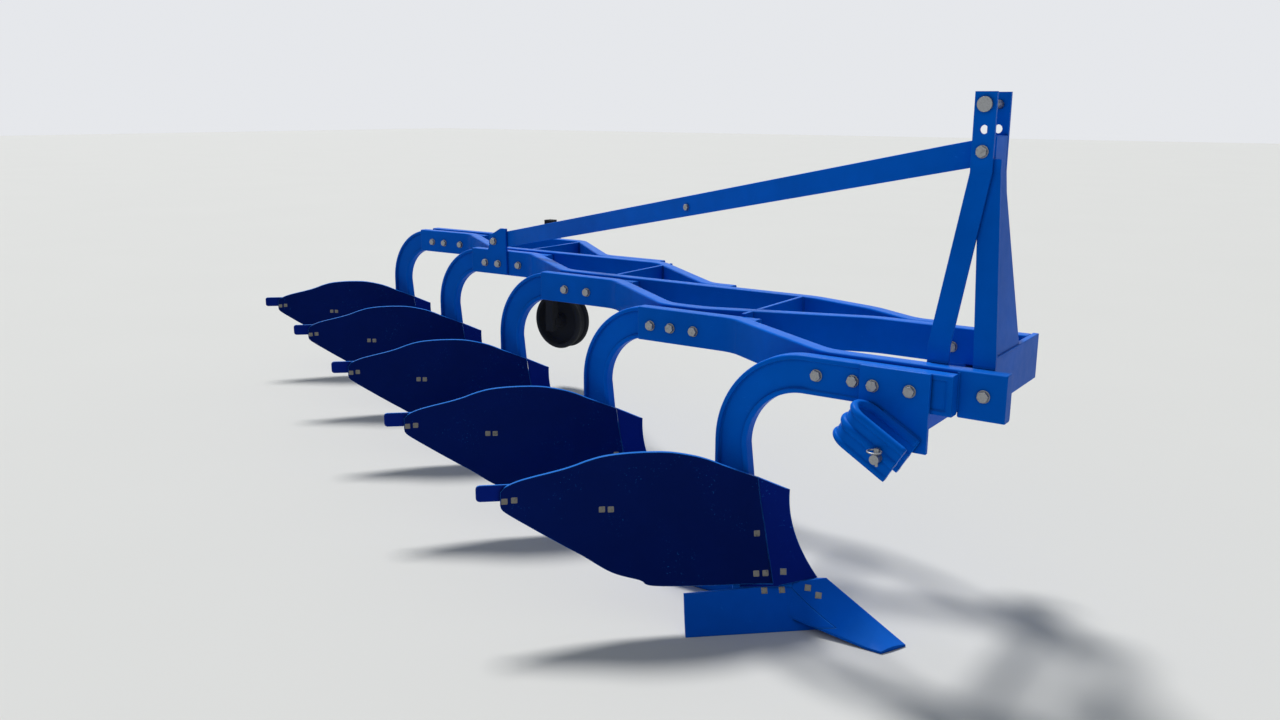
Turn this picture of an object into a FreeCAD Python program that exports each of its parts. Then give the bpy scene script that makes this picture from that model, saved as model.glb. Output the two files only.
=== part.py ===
import FreeCAD, Part
import math, os, re
import Sketcher

# Five-furrow mounted mouldboard plough, conventional, turning the soil to the right.
# +X is the direction of travel, +Y the unploughed (land) side, +Z up, millimetres.
# Everything is first laid out from body 1: X from the furrow step's zero, Y from the left
# face of leg 1, Z from the ground the shares stand on. The origin is then moved under the
# middle of the whole plough.

doc = FreeCAD.newDocument("plough")
sheet = doc.addObject("Spreadsheet::Sheet", "Sizes")

sizes = [
    # origin, worked out from the finished pieces at the end
    ("origin_x", 0), ("origin_y", 0), ("origin_z", 0),
    # spacing of the five bodies
    ("body_step", 850), ("first_furrow", 403), ("furrow", 457),
    # frame bars: flats on edge, cranked from body to body
    ("bar_thick", 50), ("bar_deep", 125), ("bar_top", 885),
    ("bar_tail", 1037), ("crank_from", 1440), ("crank_to", 1075),
    ("bar_front", 1640), ("block_long", 135), ("block_deep", 140), ("block_bevel", 10),
    ("left_rail", 600), ("rail_bend", 400), ("rail_start", 1000),
    ("inner_gap", 23), ("inner_seat", 110), ("inner_rise", 200), ("inner_run", 280), ("inner_low", 90),
    ("outer_crank_from", 2140), ("outer_rise", 510), ("outer_seat", 130),
    ("last_crank_from", 2155), ("last_rise", 455), ("last_seat", 360),
    ("tie_thick", 16), ("tie_a_at", 570), ("tie_b_at", 1345), ("tie_c_at", 1322),
    ("front_plate_at", 1520), ("front_plate_thick", 20), ("front_plate_deep", 150),
    # legs: curved castings of I section
    ("leg_thick", 50), ("leg_deep", 120), ("leg_wide", 114), ("leg_top", 875), ("leg_back", 738),
    ("leg_bend_x", 1045), ("leg_bend_z", 560), ("leg_front", 1505), ("leg_low", 60), ("leg_sweep", 60),
    ("rim", 16), ("web_sink", 12), ("pad_start", 1045), ("pad_long", 380),
    # blades: share and mouldboard lie on one lying cylinder, the shin on another
    ("edge_x", 1161), ("blade_turn", 222.8), ("blade_round", 653.5), ("blade_reach", 512.5),
    ("blade_rise", 416.3), ("blade_thick", 9), ("board_long", 1036), ("board_high", 560),
    ("shin_turn", 213), ("shin_round", 565), ("shin_reach", 460.7), ("shin_rise", 400),
    ("share_high", 118), ("share_long", 477), ("seam_gap", 1), ("land_thick", 10),
    ("tail_thick", 8), ("tail_high", 53), ("tail_long", 147), ("tail_reach", 1107), ("tail_low", 414),
    # point: a twisted wedge whose left side runs along the landside
    ("tip_x", 1395), ("tip_thick", 6), ("tip_skew", 42), ("point_wide", 90), ("point_slope", 28.8),
    ("point_top_x", 1111), ("point_top", 152), ("point_back", 1018), ("point_back_top", 128),
    ("sole_from", 1310), ("sole_rise", 35), ("point_edge", 8),
    ("lap_x", 1206), ("lap_y", 68), ("lap_z", 40), ("lap_back_y", 36),
    # landside, frog and brace
    ("land_rear", 430), ("land_front", 1000), ("land_high", 110),
    ("frog_thick", 16), ("frog_low", 45), ("frog_high", 400), ("frog_long", 310), ("frog_web", 20),
    ("brace_wide", 44), ("brace_thick", 14), ("brace_at", 707), ("brace_up", 377), ("brace_out", 352),
    ("brace_back", 214),
    # hitch
    ("plate_thick", 15), ("plate_rear", 1233), ("plate_front", 1445), ("plate_low", 640),
    ("plate_nose", 45), ("tube_side", 80), ("tube_wall", 6), ("tube_front", 1400), ("tube_top", 755),
    ("clevis_wide", 110), ("clevis_thick", 12), ("clevis_long", 205), ("clevis_deep", 122),
    ("clevis_slope", 31), ("clevis_x", 1430), ("clevis_z", 680), ("clevis_bead", 11),
    ("hitch_pin_round", 14), ("hitch_pin_back", 50), ("hitch_pin_down", 68), ("fit_gap", 0.3),
    ("lynch_wire", 2.5), ("lynch_ring", 20), ("lynch_round", 5),
    # mast
    ("mast_half", 59), ("mast_thick", 12), ("mast_wide", 64), ("mast_x", 1450), ("mast_foot_x", 1422),
    ("mast_top", 1650), ("mast_bend", 1420), ("foot_bend", 937), ("foot_low", 765),
    ("front_leg_x", 1557), ("front_leg_top_x", 1472), ("front_leg_bend", 910), ("front_leg_head", 40),
    ("centre_foot", 290), ("centre_top", 1525),
    ("top_pin_z", 1614), ("spare_hole_z", 1543), ("stay_bolt_z", 1480), ("top_pin_round", 12.7),
    ("top_head_round", 22), ("top_head_thick", 10),
    # stay
    ("stay_thick", 12), ("stay_deep", 80), ("stay_rear_z", 931), ("stay_rear_x", 1345), ("stay_over", 45),
    ("stay_tab", 110), ("bracket_thick", 14), ("bracket_top", 1000), ("bracket_front", 1263),
    ("bracket_rear", 1435), ("bracket_low", 765), ("bracket_shoulder", 970),
    # depth wheel
    ("wheel_x", 1508), ("wheel_y", 1955), ("wheel_z", 390), ("wheel_round", 164), ("wheel_wide", 110),
    ("wheel_wall", 14), ("hub_round", 34), ("axle_round", 17.5), ("axle_play", 0.1), ("post_side", 50),
    ("post_top", 980), ("post_gap", 10), ("clamp_high", 120), ("clamp_wall", 12), ("screw_round", 9),
    ("handle_long", 110), ("handle_round", 7),
    # fasteners
    ("bolt_round", 10), ("bolt_head", 15), ("head_high", 13), ("nut_high", 16), ("bolt_clear", 0.5),
    ("bolt_line", 818), ("plate_bolt_a", 1275), ("plate_bolt_b", 1387), ("block_bolt_x", 1577),
    ("stud_side", 20), ("stud_proud", 1), ("stud_round", 6), ("stud_nut", 9), ("stud_nut_high", 10),
    ("overrun", 20),
]
for row, (alias, value) in enumerate(sizes, start=1):
    sheet.set("A%d" % row, alias)
    sheet.set("B%d" % row, repr(float(value)))
    sheet.setAlias("B%d" % row, alias)
aliases = {alias for alias, _ in sizes}
doc.recompute()

body_count = 5
pieces = []
zero = "0"


def formula(text):
    """Turn a formula of named sizes into an expression on the sheet."""
    return re.sub(r"[a-z_]+", lambda word: "Sizes." + word[0] if word[0] in aliases else word[0], str(text))


def bind(thing, **rules):
    for prop, rule in rules.items():
        thing.setExpression(prop, formula(rule))
    return thing


def at(thing, x=zero, y=zero, z=zero, axis=None, angle=None):
    """Place an object by formulas; axis and angle turn it first."""
    if axis is not None:
        thing.Placement = FreeCAD.Placement(FreeCAD.Vector(), FreeCAD.Rotation(FreeCAD.Vector(*axis), 1))
        thing.setExpression("Placement.Rotation.Angle", formula(angle))
    for letter, rule in zip("xyz", (x, y, z)):
        if rule != zero:
            thing.setExpression("Placement.Base." + letter, formula(rule))
    return thing


turns = {"XY": FreeCAD.Rotation(),
         "XZ": FreeCAD.Rotation(FreeCAD.Vector(1, 0, 0), 90),
         "YZ": FreeCAD.Rotation(FreeCAD.Vector(1, 1, 1), 120)}
normals = {"XY": (0, 0, 1), "XZ": (0, 1, 0), "YZ": (1, 0, 0)}
heights = {"XY": "z", "XZ": "y", "YZ": "x"}


def outline(name, plane, corners):
    """Closed sketch on a main plane, each corner held at a pair of formulas."""
    sketch = doc.addObject("Sketcher::SketchObject", name + "_outline")
    sketch.Placement = FreeCAD.Placement(FreeCAD.Vector(), turns[plane])
    count = len(corners)
    start = [(math.cos(2 * math.pi * i / count), math.sin(2 * math.pi * i / count)) for i in range(count)]
    for i in range(count):
        a, b = start[i], start[(i + 1) % count]
        sketch.addGeometry(Part.LineSegment(FreeCAD.Vector(*a), FreeCAD.Vector(*b)))
    for i in range(count):
        sketch.addConstraint(Sketcher.Constraint("Coincident", i, 2, (i + 1) % count, 1))
    for i, corner in enumerate(corners):
        for kind, rule, guess in zip(("DistanceX", "DistanceY"), corner, start[i]):
            k = sketch.addConstraint(Sketcher.Constraint(kind, -1, 1, i, 1, guess))
            sketch.setExpression("Constraints[%d]" % k, formula(rule))
    return sketch


def prism(name, plane, corners, start, length):
    """Outline on a main plane, extruded from start by length along the plane's normal."""
    solid = doc.addObject("Part::Extrusion", name)
    solid.Base = outline(name, plane, corners)
    solid.DirMode = "Custom"
    solid.Dir = FreeCAD.Vector(*normals[plane])
    solid.Solid = True
    bind(solid, LengthFwd=length)
    return at(solid, **{heights[plane]: start})


def loft(name, plane, sections):
    """Ruled solid through outlines that lie on parallel planes, as (level, corners) pairs."""
    solid = doc.addObject("Part::Loft", name)
    rings = []
    for i, (level, corners) in enumerate(sections):
        ring = outline("%s_%d" % (name, i), plane, corners)
        rings.append(at(ring, **{heights[plane]: level}))
    solid.Sections = rings
    solid.Solid = True
    solid.Ruled = True
    return solid


def box(name, x0, x1, y0, y1, z0, z1):
    solid = doc.addObject("Part::Box", name)
    bind(solid, Length="(%s) - (%s)" % (x1, x0), Width="(%s) - (%s)" % (y1, y0),
         Height="(%s) - (%s)" % (z1, z0))
    return at(solid, x0, y0, z0)


def rod(name, radius, length, x, y, z, way="y"):
    """Round bar along +X, +Y or +Z from its start point."""
    solid = doc.addObject("Part::Cylinder", name)
    bind(solid, Radius=radius, Height=length)
    turn = {"x": ((0, 1, 0), "90"), "y": ((1, 0, 0), "-90"), "z": (None, None)}[way]
    return at(solid, x, y, z, *turn)


def hexagon(name, radius, length, x, y, z):
    """Hexagonal head or nut along +Y; radius is half the width across flats."""
    solid = doc.addObject("Part::Prism", name)
    solid.Polygon = 6
    bind(solid, Circumradius="(%s) / cos(30)" % radius, Height=length)
    return at(solid, x, y, z, (1, 0, 0), "-90")


def ring(name, radius, wire, x, y, z):
    solid = doc.addObject("Part::Torus", name)
    bind(solid, Radius1=radius, Radius2=wire)
    return at(solid, x, y, z)


def fuse(name, parts):
    solid = doc.addObject("Part::MultiFuse", name)
    solid.Shapes = parts
    return solid


def group(name, parts):
    thing = doc.addObject("Part::Compound", name)
    thing.Links = parts
    return thing


def cut(name, base, tools):
    solid = doc.addObject("Part::Cut", name)
    solid.Base = base
    solid.Tool = tools[0] if len(tools) == 1 else group(name + "_tools", tools)
    return solid


def cut_in_turn(name, base, tools):
    for i, tool in enumerate(tools):
        base = cut("%s_%d" % (name, i), base, [tool])
    return base


def common(name, base, tool):
    solid = doc.addObject("Part::Common", name)
    solid.Base, solid.Tool = base, tool
    return solid


def finish(node, things, dx=zero, dy=zero):
    """Name a finished piece and move it from the layout to the plough's own origin."""
    final = group(node + "_placed", things)
    at(final, "(%s) - origin_x" % dx, "(%s) - origin_y" % dy, "0 - origin_z")
    final.Label = node
    pieces.append((node, final))
    return final


def furrow_y(n):
    """Left face of leg n."""
    return zero if n == 1 else "(first_furrow + furrow * %d)" % (n - 2)


def step_x(n):
    """How far body n sits behind body 1, as a negative place."""
    return zero if n == 1 else "(0 - body_step * %d)" % (n - 1)


def each_body(name, thing):
    """The same piece at all five bodies."""
    return [at(group("%s_at_%d" % (name, n), [thing]), step_x(n), furrow_y(n)) for n in range(1,
                                                                                              body_count + 1)]


# Frame bars
def cranked_bar(name, kinks):
    """Flat on edge through kinks: place along, near face, share that the far face shifts by."""
    near = [(x, y) for x, y, _ in kinks]
    far = [("(%s) + bar_thick * %s" % (x, share), "(%s) + bar_thick" % y) for x, y, share in kinks]
    return prism(name, "XY", near + far[::-1], "bar_top - bar_deep", "bar_deep")


kink_share = 0.33
bar_kinks = {}
for n in range(1, body_count):
    behind = "%s - body_step" % step_x(n)
    seat = "%s - leg_thick - bar_thick" % furrow_y(n + 1)
    bar_kinks[n] = [("%s + bar_tail" % behind, seat, 0), ("%s + crank_from" % behind, seat, kink_share),
                    ("%s + crank_to" % step_x(n), furrow_y(n), kink_share)]
bar_kinks[body_count] = [("%s + bar_tail" % step_x(5), furrow_y(5), 0)]
bar_kinks[1] += [("bar_front", furrow_y(1), 0)]
bar_kinks[2] += [("rail_bend", furrow_y(2), -0.16), ("rail_start", "left_rail", -0.16),
                 ("front_plate_at", "left_rail", 0)]
inner_end = "plate_rear - inner_gap"
inner_seat = inner_end + " - inner_seat"
bar_kinks[3] += [(inner_seat + " - inner_rise - inner_run", furrow_y(3), 0.07),
                 (inner_seat + " - inner_rise", "%s - inner_low" % furrow_y(3), 0.34),
                 (inner_seat, "left_rail + bar_thick", 0.27), (inner_end, "left_rail + bar_thick", 0)]
for n, low, rise, seat in ((4, "outer_crank_from", "outer_rise", "outer_seat"),
                           (5, "last_crank_from", "last_rise", "last_seat")):
    start, beside = "%s + %s" % (step_x(n), low), "%s + bar_thick" % furrow_y(n - 1)
    bar_kinks[n] += [(start, furrow_y(n), kink_share), ("%s + %s" % (start, rise), beside, kink_share),
                     ("%s + %s + %s" % (start, rise, seat), beside, 0)]
bars = {n: cranked_bar("bar_%d" % n, kinks) for n, kinks in bar_kinks.items()}

# bar 1 ends in a deeper block with bevelled front corners
block = prism("block", "XZ", [("bar_front - block_long", "bar_top - block_deep"),
                              ("bar_front - block_bevel", "bar_top - block_deep"),
                              ("bar_front", "bar_top - block_deep + block_bevel"),
                              ("bar_front", "bar_top - block_bevel"),
                              ("bar_front - block_bevel", "bar_top"),
                              ("bar_front - block_long", "bar_top")], zero, "bar_thick")
bars[1] = fuse("bar_1_with_block", [bars[1], block])


# Bolts through legs, bars and hitch plates
def bolt(tag, x, near, far, z="bolt_line", seat=None):
    """Hole, bolt and nut through everything between two faces; a leaning seat trims the nut."""
    hole = rod(tag + "_hole", "bolt_round + bolt_clear", "(%s) - (%s) + 2 * overrun" % (far, near), x,
               "(%s) - overrun" % near, z)
    shank = rod(tag + "_shank", "bolt_round", "(%s) - (%s) + nut_high + stud_proud" % (far, near), x, near,
                z)
    head = hexagon(tag + "_head", "bolt_head", "head_high", x, "(%s) - head_high" % near, z)
    nut = hexagon(tag + "_nut_blank", "bolt_head", "nut_high", x, far, z)
    bolts.append(fuse(tag, [shank, head]))
    nuts.append(cut_in_turn(tag + "_nut", nut, [shank] + ([seat] if seat else [])))
    return hole


bolts, nuts = [], []
# places of the bolts along each leg's pad
leg_bolt_shares = {1: (0.11, 0.42), 2: (0.13, 0.36, 0.62), 3: (0.34, 0.66), 4: (0.26, 0.49, 0.82),
                   5: (0.24, 0.49, 0.83)}
leg_holes = {}
rail_slope = "((left_rail - first_furrow) / (rail_start - rail_bend))"
for n, shares in leg_bolt_shares.items():
    leg_holes[n] = []
    for i, share in enumerate(shares):
        x = "%s + pad_start + pad_long * %s" % (step_x(n), share)
        near = "%s - leg_thick" % furrow_y(n)
        far = "%s + bar_thick" % furrow_y(n)
        if n > 1:
            near += " - bar_thick"
        if (n, i) in ((4, 0), (4, 1)):
            near += " - bracket_thick"
        if (n, i) == (2, 2):
            far += " + (%s - bolt_head - rail_bend) * %s" % (x, rail_slope)
        leg_holes[n].append(bolt("leg_bolt_%d_%d" % (n, i), x, near, far, seat=bars[n]))
right_near, left_far = "- leg_thick - plate_thick", "left_rail + bar_thick + plate_thick"
plate_holes = {"right": [bolt("plate_bolt_%d" % i, x, right_near, far) for i, (x, far) in enumerate(
                   (("plate_bolt_a", "bar_thick"), ("plate_bolt_b", "bar_thick + mast_thick")))],
               "left": [bolt("rail_bolt_%d" % i, x, near, left_far) for i, (x, near) in enumerate(
                   (("plate_bolt_a", "left_rail"), ("plate_bolt_b", "left_rail - mast_thick")))]}
block_hole = bolt("block_bolt", "block_bolt_x", zero, "bar_thick + mast_thick")

bar_holes = {1: leg_holes[1] + leg_holes[2] + plate_holes["right"] + [block_hole],
             2: leg_holes[2] + leg_holes[3] + plate_holes["left"], 3: leg_holes[3] + leg_holes[4],
             4: leg_holes[4] + leg_holes[5], 5: leg_holes[5]}
for n in range(1, body_count + 1):
    finish("frame_bar_%d" % n, [cut("bar_%d_drilled" % n, bars[n], bar_holes[n])])

# ties across between neighbouring bars, trimmed to their faces
ties = []
for n, place in ((2, "tie_a_at"), (3, "%s + tie_b_at" % step_x(3)), (4, "%s + tie_c_at" % step_x(4))):
    blank = box("tie_%d" % n, place, "%s + tie_thick" % place, furrow_y(n),
                "%s + bar_thick / 2" % furrow_y(n + 1),
                "bar_top - bar_deep", "bar_top")
    ties.append(cut("tie_%d_trimmed" % n, blank, [bars[n], bars[n + 1]]))
finish("cross_ties", ties)
finish("front_cross_plate", [box("front_plate", "front_plate_at", "front_plate_at + front_plate_thick",
                                 "bar_thick + mast_thick", left_far, "bar_top - front_plate_deep",
                                 "bar_top")])


# Legs
def leg_profile(name, inset, start, length):
    """Side view of the leg: upright, quarter bend and level part, all inset alike."""
    steps = 12
    top, under = "(leg_top - %s)" % inset, "(leg_top - leg_deep + %s)" % inset
    back, inner = "(leg_back + %s)" % inset, "(leg_back + leg_wide - %s)" % inset
    angles = [90 * i / steps for i in range(steps + 1)]
    low = "(leg_low + 2 * %s)" % inset
    corners = [(back, low)]
    corners += [("leg_bend_x - (leg_bend_x - %s) * cos(%s)" % (back, a),
                 "leg_bend_z + (%s - leg_bend_z) * sin(%s)" % (top, a)) for a in angles]
    corners += [("leg_front - %s" % inset, top), ("leg_front - %s" % inset, under)]
    corners += [("leg_bend_x - (leg_bend_x - %s) * cos(%s)" % (inner, a),
                 "leg_bend_z + (%s - leg_bend_z) * sin(%s)" % (under, a)) for a in angles[::-1]]
    corners.append(("%s + leg_sweep" % inner, low))
    return prism(name, "XZ", corners, start, length)


leg_blank = leg_profile("leg_blank", zero, "0 - leg_thick", "leg_thick")
near_sink = leg_profile("near_sink", "rim", "0 - leg_thick - overrun", "overrun + web_sink")
far_sink = leg_profile("far_sink", "rim", "0 - web_sink", "overrun + web_sink")
# the bolted length keeps its full thickness as a pad
pad_room = box("pad_room", "pad_start", "pad_start + pad_long", "0 - leg_thick - 2 * overrun",
               "2 * overrun",
               "leg_top - leg_deep - overrun", "leg_top + overrun")
leg_plain = cut("leg_plain", leg_blank,
                [cut("near_panel", near_sink, [pad_room]), cut("far_panel", far_sink, [pad_room])])

# Blades, each in a frame of its own: X runs back along the edge, Y forward out of the working
# face, Z up. A blade is what an outline leaves of a lying cylinder's wall.
frames = {"blade": ("blade_turn", "blade_reach", "blade_rise", "blade_round"),
          "shin": ("shin_turn", "shin_reach", "shin_rise", "shin_round")}


def lying_cylinder(name, frame, extra):
    _, reach, rise, radius = frames[frame]
    solid = doc.addObject("Part::Cylinder", name)
    bind(solid, Radius="%s + %s" % (radius, extra), Height="board_long + share_long")
    return at(solid, "0 - share_long / 2", reach, rise, (0, 1, 0), "90")


def layer(name, frame, inner, outer):
    """Wall of the cylinder between two depths behind the working face."""
    return cut(name, lying_cylinder(name + "_out", frame, outer),
               [lying_cylinder(name + "_in", frame, inner)])


def turned(thing, frame):
    """The thing carried from a blade's frame to its place on body 1."""
    return at(group(thing.Name + "_turned", [thing]), "edge_x", zero, zero, (0, 0, 1), frames[frame][0])


def column(name, frame, corners):
    """Outline run through the blade along the frame's Y axis."""
    reach = frames[frame][1]
    return prism(name, "XZ", corners, "0 - " + reach, reach + " * 1.3")


def blade(name, frame, corners, inner, outer):
    return turned(common(name, layer(name + "_wall", frame, inner, outer),
                         column(name + "_shape", frame, corners)), frame)


def on_board(pairs, shift=zero):
    return [("board_long * %s + (%s)" % (a, shift), "board_high * %s" % b) for a, b in pairs]


board_top_shares = ((0.999, 0.795), (0.983, 0.827), (0.945, 0.857), (0.901, 0.879), (0.856, 0.898),
                    (0.812, 0.918),
                    (0.777, 0.938), (0.739, 0.964), (0.69, 0.988), (0.63, 1.0), (0.56, 1.003),
                    (0.49, 0.996),
                    (0.42, 0.97), (0.37, 0.94), (0.321, 0.9), (0.27, 0.862))
seam_shares = ((0.216, 0.822), (0.205, 0.67), (0.193, 0.529), (0.183, 0.346), (0.178, 0.227))
board_low_shares = ((0.523, 0.243), (0.587, 0.279), (0.673, 0.327), (0.76, 0.423), (0.816, 0.482),
                    (0.9, 0.575), (0.987, 0.68), (1.0, 0.721))
share_end_shares = ((-0.2, 1.087), (0.987, 0.932))
share_top = [("share_long * %s" % a, "share_high * %s" % b) for a, b in share_end_shares]
share_gap = [(x, z + " + seam_gap") for x, z in share_top]

under_share = column("under_share", "blade", [("0 - share_long", zero), ("share_long * 2", zero),
                                              ("share_long * 2", share_gap[1][1]), share_gap[1],
                                              share_gap[0], ("0 - share_long", share_gap[0][1])])
board_side_shares = ((0.216, 1.1),) + seam_shares
board_side = column("board_side", "blade", on_board(board_side_shares, "- seam_gap") +
                    on_board(((1.0, 0.227), (1.0, 1.1))))
board_blank = cut("board_blank",
                  blade("board_sheet", "blade", on_board(board_top_shares + seam_shares + board_low_shares),
                                       zero, "blade_thick"), [turned(under_share, "blade")])

# point: ruled wedge between the landside and a low near edge
left, near_edge = "land_thick", "(land_thick - point_wide)"


def wedge_section(x, low):
    """Cross-section at a place along the point, standing on its sole."""
    ridge = "(tip_x - (%s)) * tan(point_slope) + tip_thick" % x
    return (x, [(left, ridge), (left, low), (near_edge, low), (near_edge, "%s + point_edge" % low)])


wedge = loft("wedge", "YZ", [wedge_section("tip_x + tip_thick", zero), wedge_section("sole_from", zero),
                             wedge_section("point_back", "sole_rise")])
crown_slope = "((point_top - point_back_top) / (point_top_x - point_back))"
crown = [("point_back - overrun", "point_back_top - overrun * %s" % crown_slope),
         ("tip_x", "point_back_top + (tip_x - point_back) * %s" % crown_slope)]
over_crown = prism("over_crown", "XZ",
                   crown + [("tip_x", "board_high"), ("point_back - overrun", "board_high")],
                   near_edge + " - overrun", "point_wide + 2 * overrun")
under_crown = prism("under_crown", "XZ",
                    [(crown[0][0], crown[0][1] + " + seam_gap"), (crown[0][0], "0 - overrun"),
                                          (crown[1][0], "0 - overrun"),
                                          (crown[1][0], crown[1][1] + " + seam_gap")],
                    near_edge + " - overrun", "point_wide + 2 * overrun")
tip_trim = prism("tip_trim", "XY", [("tip_x", left), ("tip_x - tip_skew", near_edge),
                                    ("tip_x - tip_skew * (1 + overrun / point_wide)",
                                     near_edge + " - overrun"),
                                    ("tip_x + 2 * overrun", near_edge + " - overrun"),
                                    ("tip_x + 2 * overrun", left + " + overrun"),
                                    ("tip_x + tip_skew * overrun / point_wide", left + " + overrun")],
                 "0 - overrun", "point_top")
wedge_whole = cut("wedge_whole", wedge, [over_crown, tip_trim])


# the share laps over the upper near part of the point
def lap_room(name, gap):
    plan = prism(name + "_plan", "XY", [("point_back - overrun", "0 - lap_back_y + %s" % gap),
                                        ("lap_x + %s" % gap, "0 - lap_y + %s" % gap),
                                        ("lap_x + %s" % gap, near_edge + " - overrun"),
                                        ("point_back - overrun", near_edge + " - overrun")], "0 - overrun",
                 "board_high")
    side = prism(name + "_side", "XZ",
                 [("point_back - overrun", "0 - %s" % gap), ("lap_x + overrun", "lap_z - %s" % gap),
                                        ("lap_x + overrun", "board_high"),
                                        ("point_back - overrun", "board_high")],
                 near_edge + " - 2 * overrun", "point_wide + 2 * overrun")
    return common(name, plan, side)


point_blank = cut("point_blank", wedge_whole, [lap_room("lap_gap", "seam_gap")])
lap = common("share_lap", wedge_whole, lap_room("lap", zero))
left_of_land = box("left_of_land", zero, "tip_x + overrun", "land_thick", "land_thick + board_long",
                   "0 - overrun",
                   "board_high + overrun")
share_corners = [("0 - share_long * 0.2", zero), ("share_long", zero), share_top[1], share_top[0]]
share_blank = cut("share_blank",
                  fuse("share_with_lap", [blade("share_sheet", "blade", share_corners, zero, "blade_thick"),
                                                         lap]), [point_blank, left_of_land])
shin_corners = [("board_long * 0.3", "share_high"), ("board_long * 0.3", "board_high * 0.85"),
                ("board_long * 0.236", "board_high * 0.822"), ("board_long * 0.15", "board_high * 0.757"),
                ("0 - board_long * 0.1", "board_high * 0.66"), ("0 - board_long * 0.1", "share_high")]
shin_room = [turned(under_share, "blade"), turned(board_side, "blade"), under_crown, left_of_land]
shin_blank = cut("shin_blank", blade("shin_sheet", "shin", shin_corners, zero, "blade_thick"), shin_room)
tail_blank = blade("tail_blank", "blade",
                   [("tail_reach - tail_long", "tail_low"), ("tail_reach - tail_high * 0.12", "tail_low"),
                                           ("tail_reach + tail_high * 0.1", "tail_low + tail_high / 2"),
                                           ("tail_reach - tail_high * 0.12", "tail_low + tail_high"),
                                           ("tail_reach - tail_long", "tail_low + tail_high")],
                   "blade_thick", "blade_thick + tail_thick")


# Square-headed bolts let into the blades, nuts behind
def stud(name, x, y, z, lean, sheet_thick, grip):
    """Plough bolt at a place in a blade's frame, leaning back with the face."""
    head = box(name + "_head", "0 - stud_side / 2", "stud_side / 2", "0 - " + sheet_thick, "stud_proud",
               "0 - stud_side / 2", "stud_side / 2")
    back = "(%s + %s)" % (sheet_thick, grip)
    shank = rod(name + "_shank", "stud_round", "%s + stud_nut_high + stud_proud" % back, zero,
                "0 - %s - stud_nut_high - stud_proud" % back, zero)
    parts = [head, shank]
    if grip != zero:
        parts.append(hexagon(name + "_nut", "stud_nut", "stud_nut_high", zero,
                             "0 - %s - stud_nut_high" % back, zero))
    return at(fuse(name, parts), x, y, z, (1, 0, 0), lean)


def face_stud(name, frame, x, z, grip):
    _, reach, rise, radius = frames[frame]
    drop = "(%s - (%s))" % (rise, z)
    piece = stud(name + "_piece", x, "%s - sqrt(%s * %s - %s * %s)" % (reach, radius, radius, drop, drop),
                 z,
                 "asin(%s / %s)" % (drop, radius), "blade_thick", grip)
    return turned(piece, frame)


board_stud_shares = ((0.218, 0.496, "frog_thick"), (0.226, 0.281, "frog_thick"),
                     (0.197, 0.281, "frog_thick"),
                     (0.696, 0.673, "brace_thick"), (0.669, 0.671, "brace_thick"),
                     (0.987, 0.743, "tail_thick"), (0.958, 0.748, "tail_thick"))
share_stud_shares = ((0.445, 0.92), (0.325, 0.915))
board_studs = [face_stud("board_stud_%d" % i, "blade", "board_long * %s" % a, "board_high * %s" % b, grip)
               for i, (a, b, grip) in enumerate(board_stud_shares)]
share_studs = [face_stud("share_stud_%d" % i, "blade", "share_long * %s" % a, "share_high * %s" % b,
                         "frog_thick")
               for i, (a, b) in enumerate(share_stud_shares)]
shin_studs = [face_stud("shin_stud", "shin", "board_long * 0.154", "board_high * 0.291", "frog_thick")]
# the point's two bolts stand square to its twisted face
point_stud_shares = ((0.16, 0.40), (0.26, 0.41))
point_studs = []
for i, (along, across) in enumerate(point_stud_shares):
    x = "(point_back + (tip_x - point_back) * %s)" % along
    low = "(sole_rise * (sole_from - %s) / (sole_from - point_back) + point_edge)" % x
    rise = "((tip_x - %s) * tan(point_slope) + tip_thick)" % x
    piece = stud("point_stud_%d" % i, zero, zero, zero, "atan(point_wide / (%s - %s))" % (rise, low),
                 "point_edge", zero)
    point_studs.append(at(group("point_stud_%d_set" % i, [piece]), x,
                          "land_thick - point_wide * %s" % across,
                          "%s + (%s - %s) * %s" % (low, rise, low, 1 - across), (0, 0, 1),
                          "shin_turn - point_slope / 2"))
# the first bolt's nut sits in a pocket of the leg
leg_seated = cut("leg_seated", leg_plain, [board_studs[0]])
for n in range(1, body_count + 1):
    placed = at(group("leg_%d_plain" % n, [leg_seated]), step_x(n), furrow_y(n))
    finish("leg_%d" % n,
           [cut("leg_%d_drilled" % n, placed, leg_holes[n] + (plate_holes["right"] if n == 1 else []))])

frog_studs = board_studs[:3] + share_studs + shin_studs
brace_studs, tail_studs = board_studs[3:5], board_studs[5:]

# Frog: faces behind the blades, a deep web to the leg and a high thin one
frog_faces = [blade("frog_back", "blade", [("board_long * 0.17", "frog_low"), ("frog_long", "frog_low"),
                                           ("frog_long", "share_high * 1.6"),
                                           ("frog_long * 0.8", "frog_high"),
                                           ("board_long * 0.17", "frog_high")], "blade_thick",
                    "blade_thick + frog_thick"),
              blade("frog_front", "shin",
                    [("board_long * 0.05", "share_high"), ("board_long * 0.24", "share_high"),
                                           ("board_long * 0.24", "frog_high"),
                                           ("board_long * 0.05", "frog_high")],
                    "blade_thick", "blade_thick + frog_thick")]
blade_front = turned(lying_cylinder("blade_front", "blade", "blade_thick"), "blade")
shin_front = turned(lying_cylinder("shin_front", "shin", "blade_thick"), "shin")
web_low = box("web_low", "leg_back + leg_wide", "tip_x", "0 - leg_thick", zero, "frog_low",
              "land_high * 1.5")
web_high = box("web_high", "leg_back + leg_wide", "tip_x", "0 - leg_thick / 2 - frog_web / 2",
               "0 - leg_thick / 2 + frog_web / 2", "land_high * 1.5", "frog_high")
webs = cut("frog_webs", fuse("frog_web_pair", [web_low, web_high]), [blade_front, shin_front])
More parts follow.
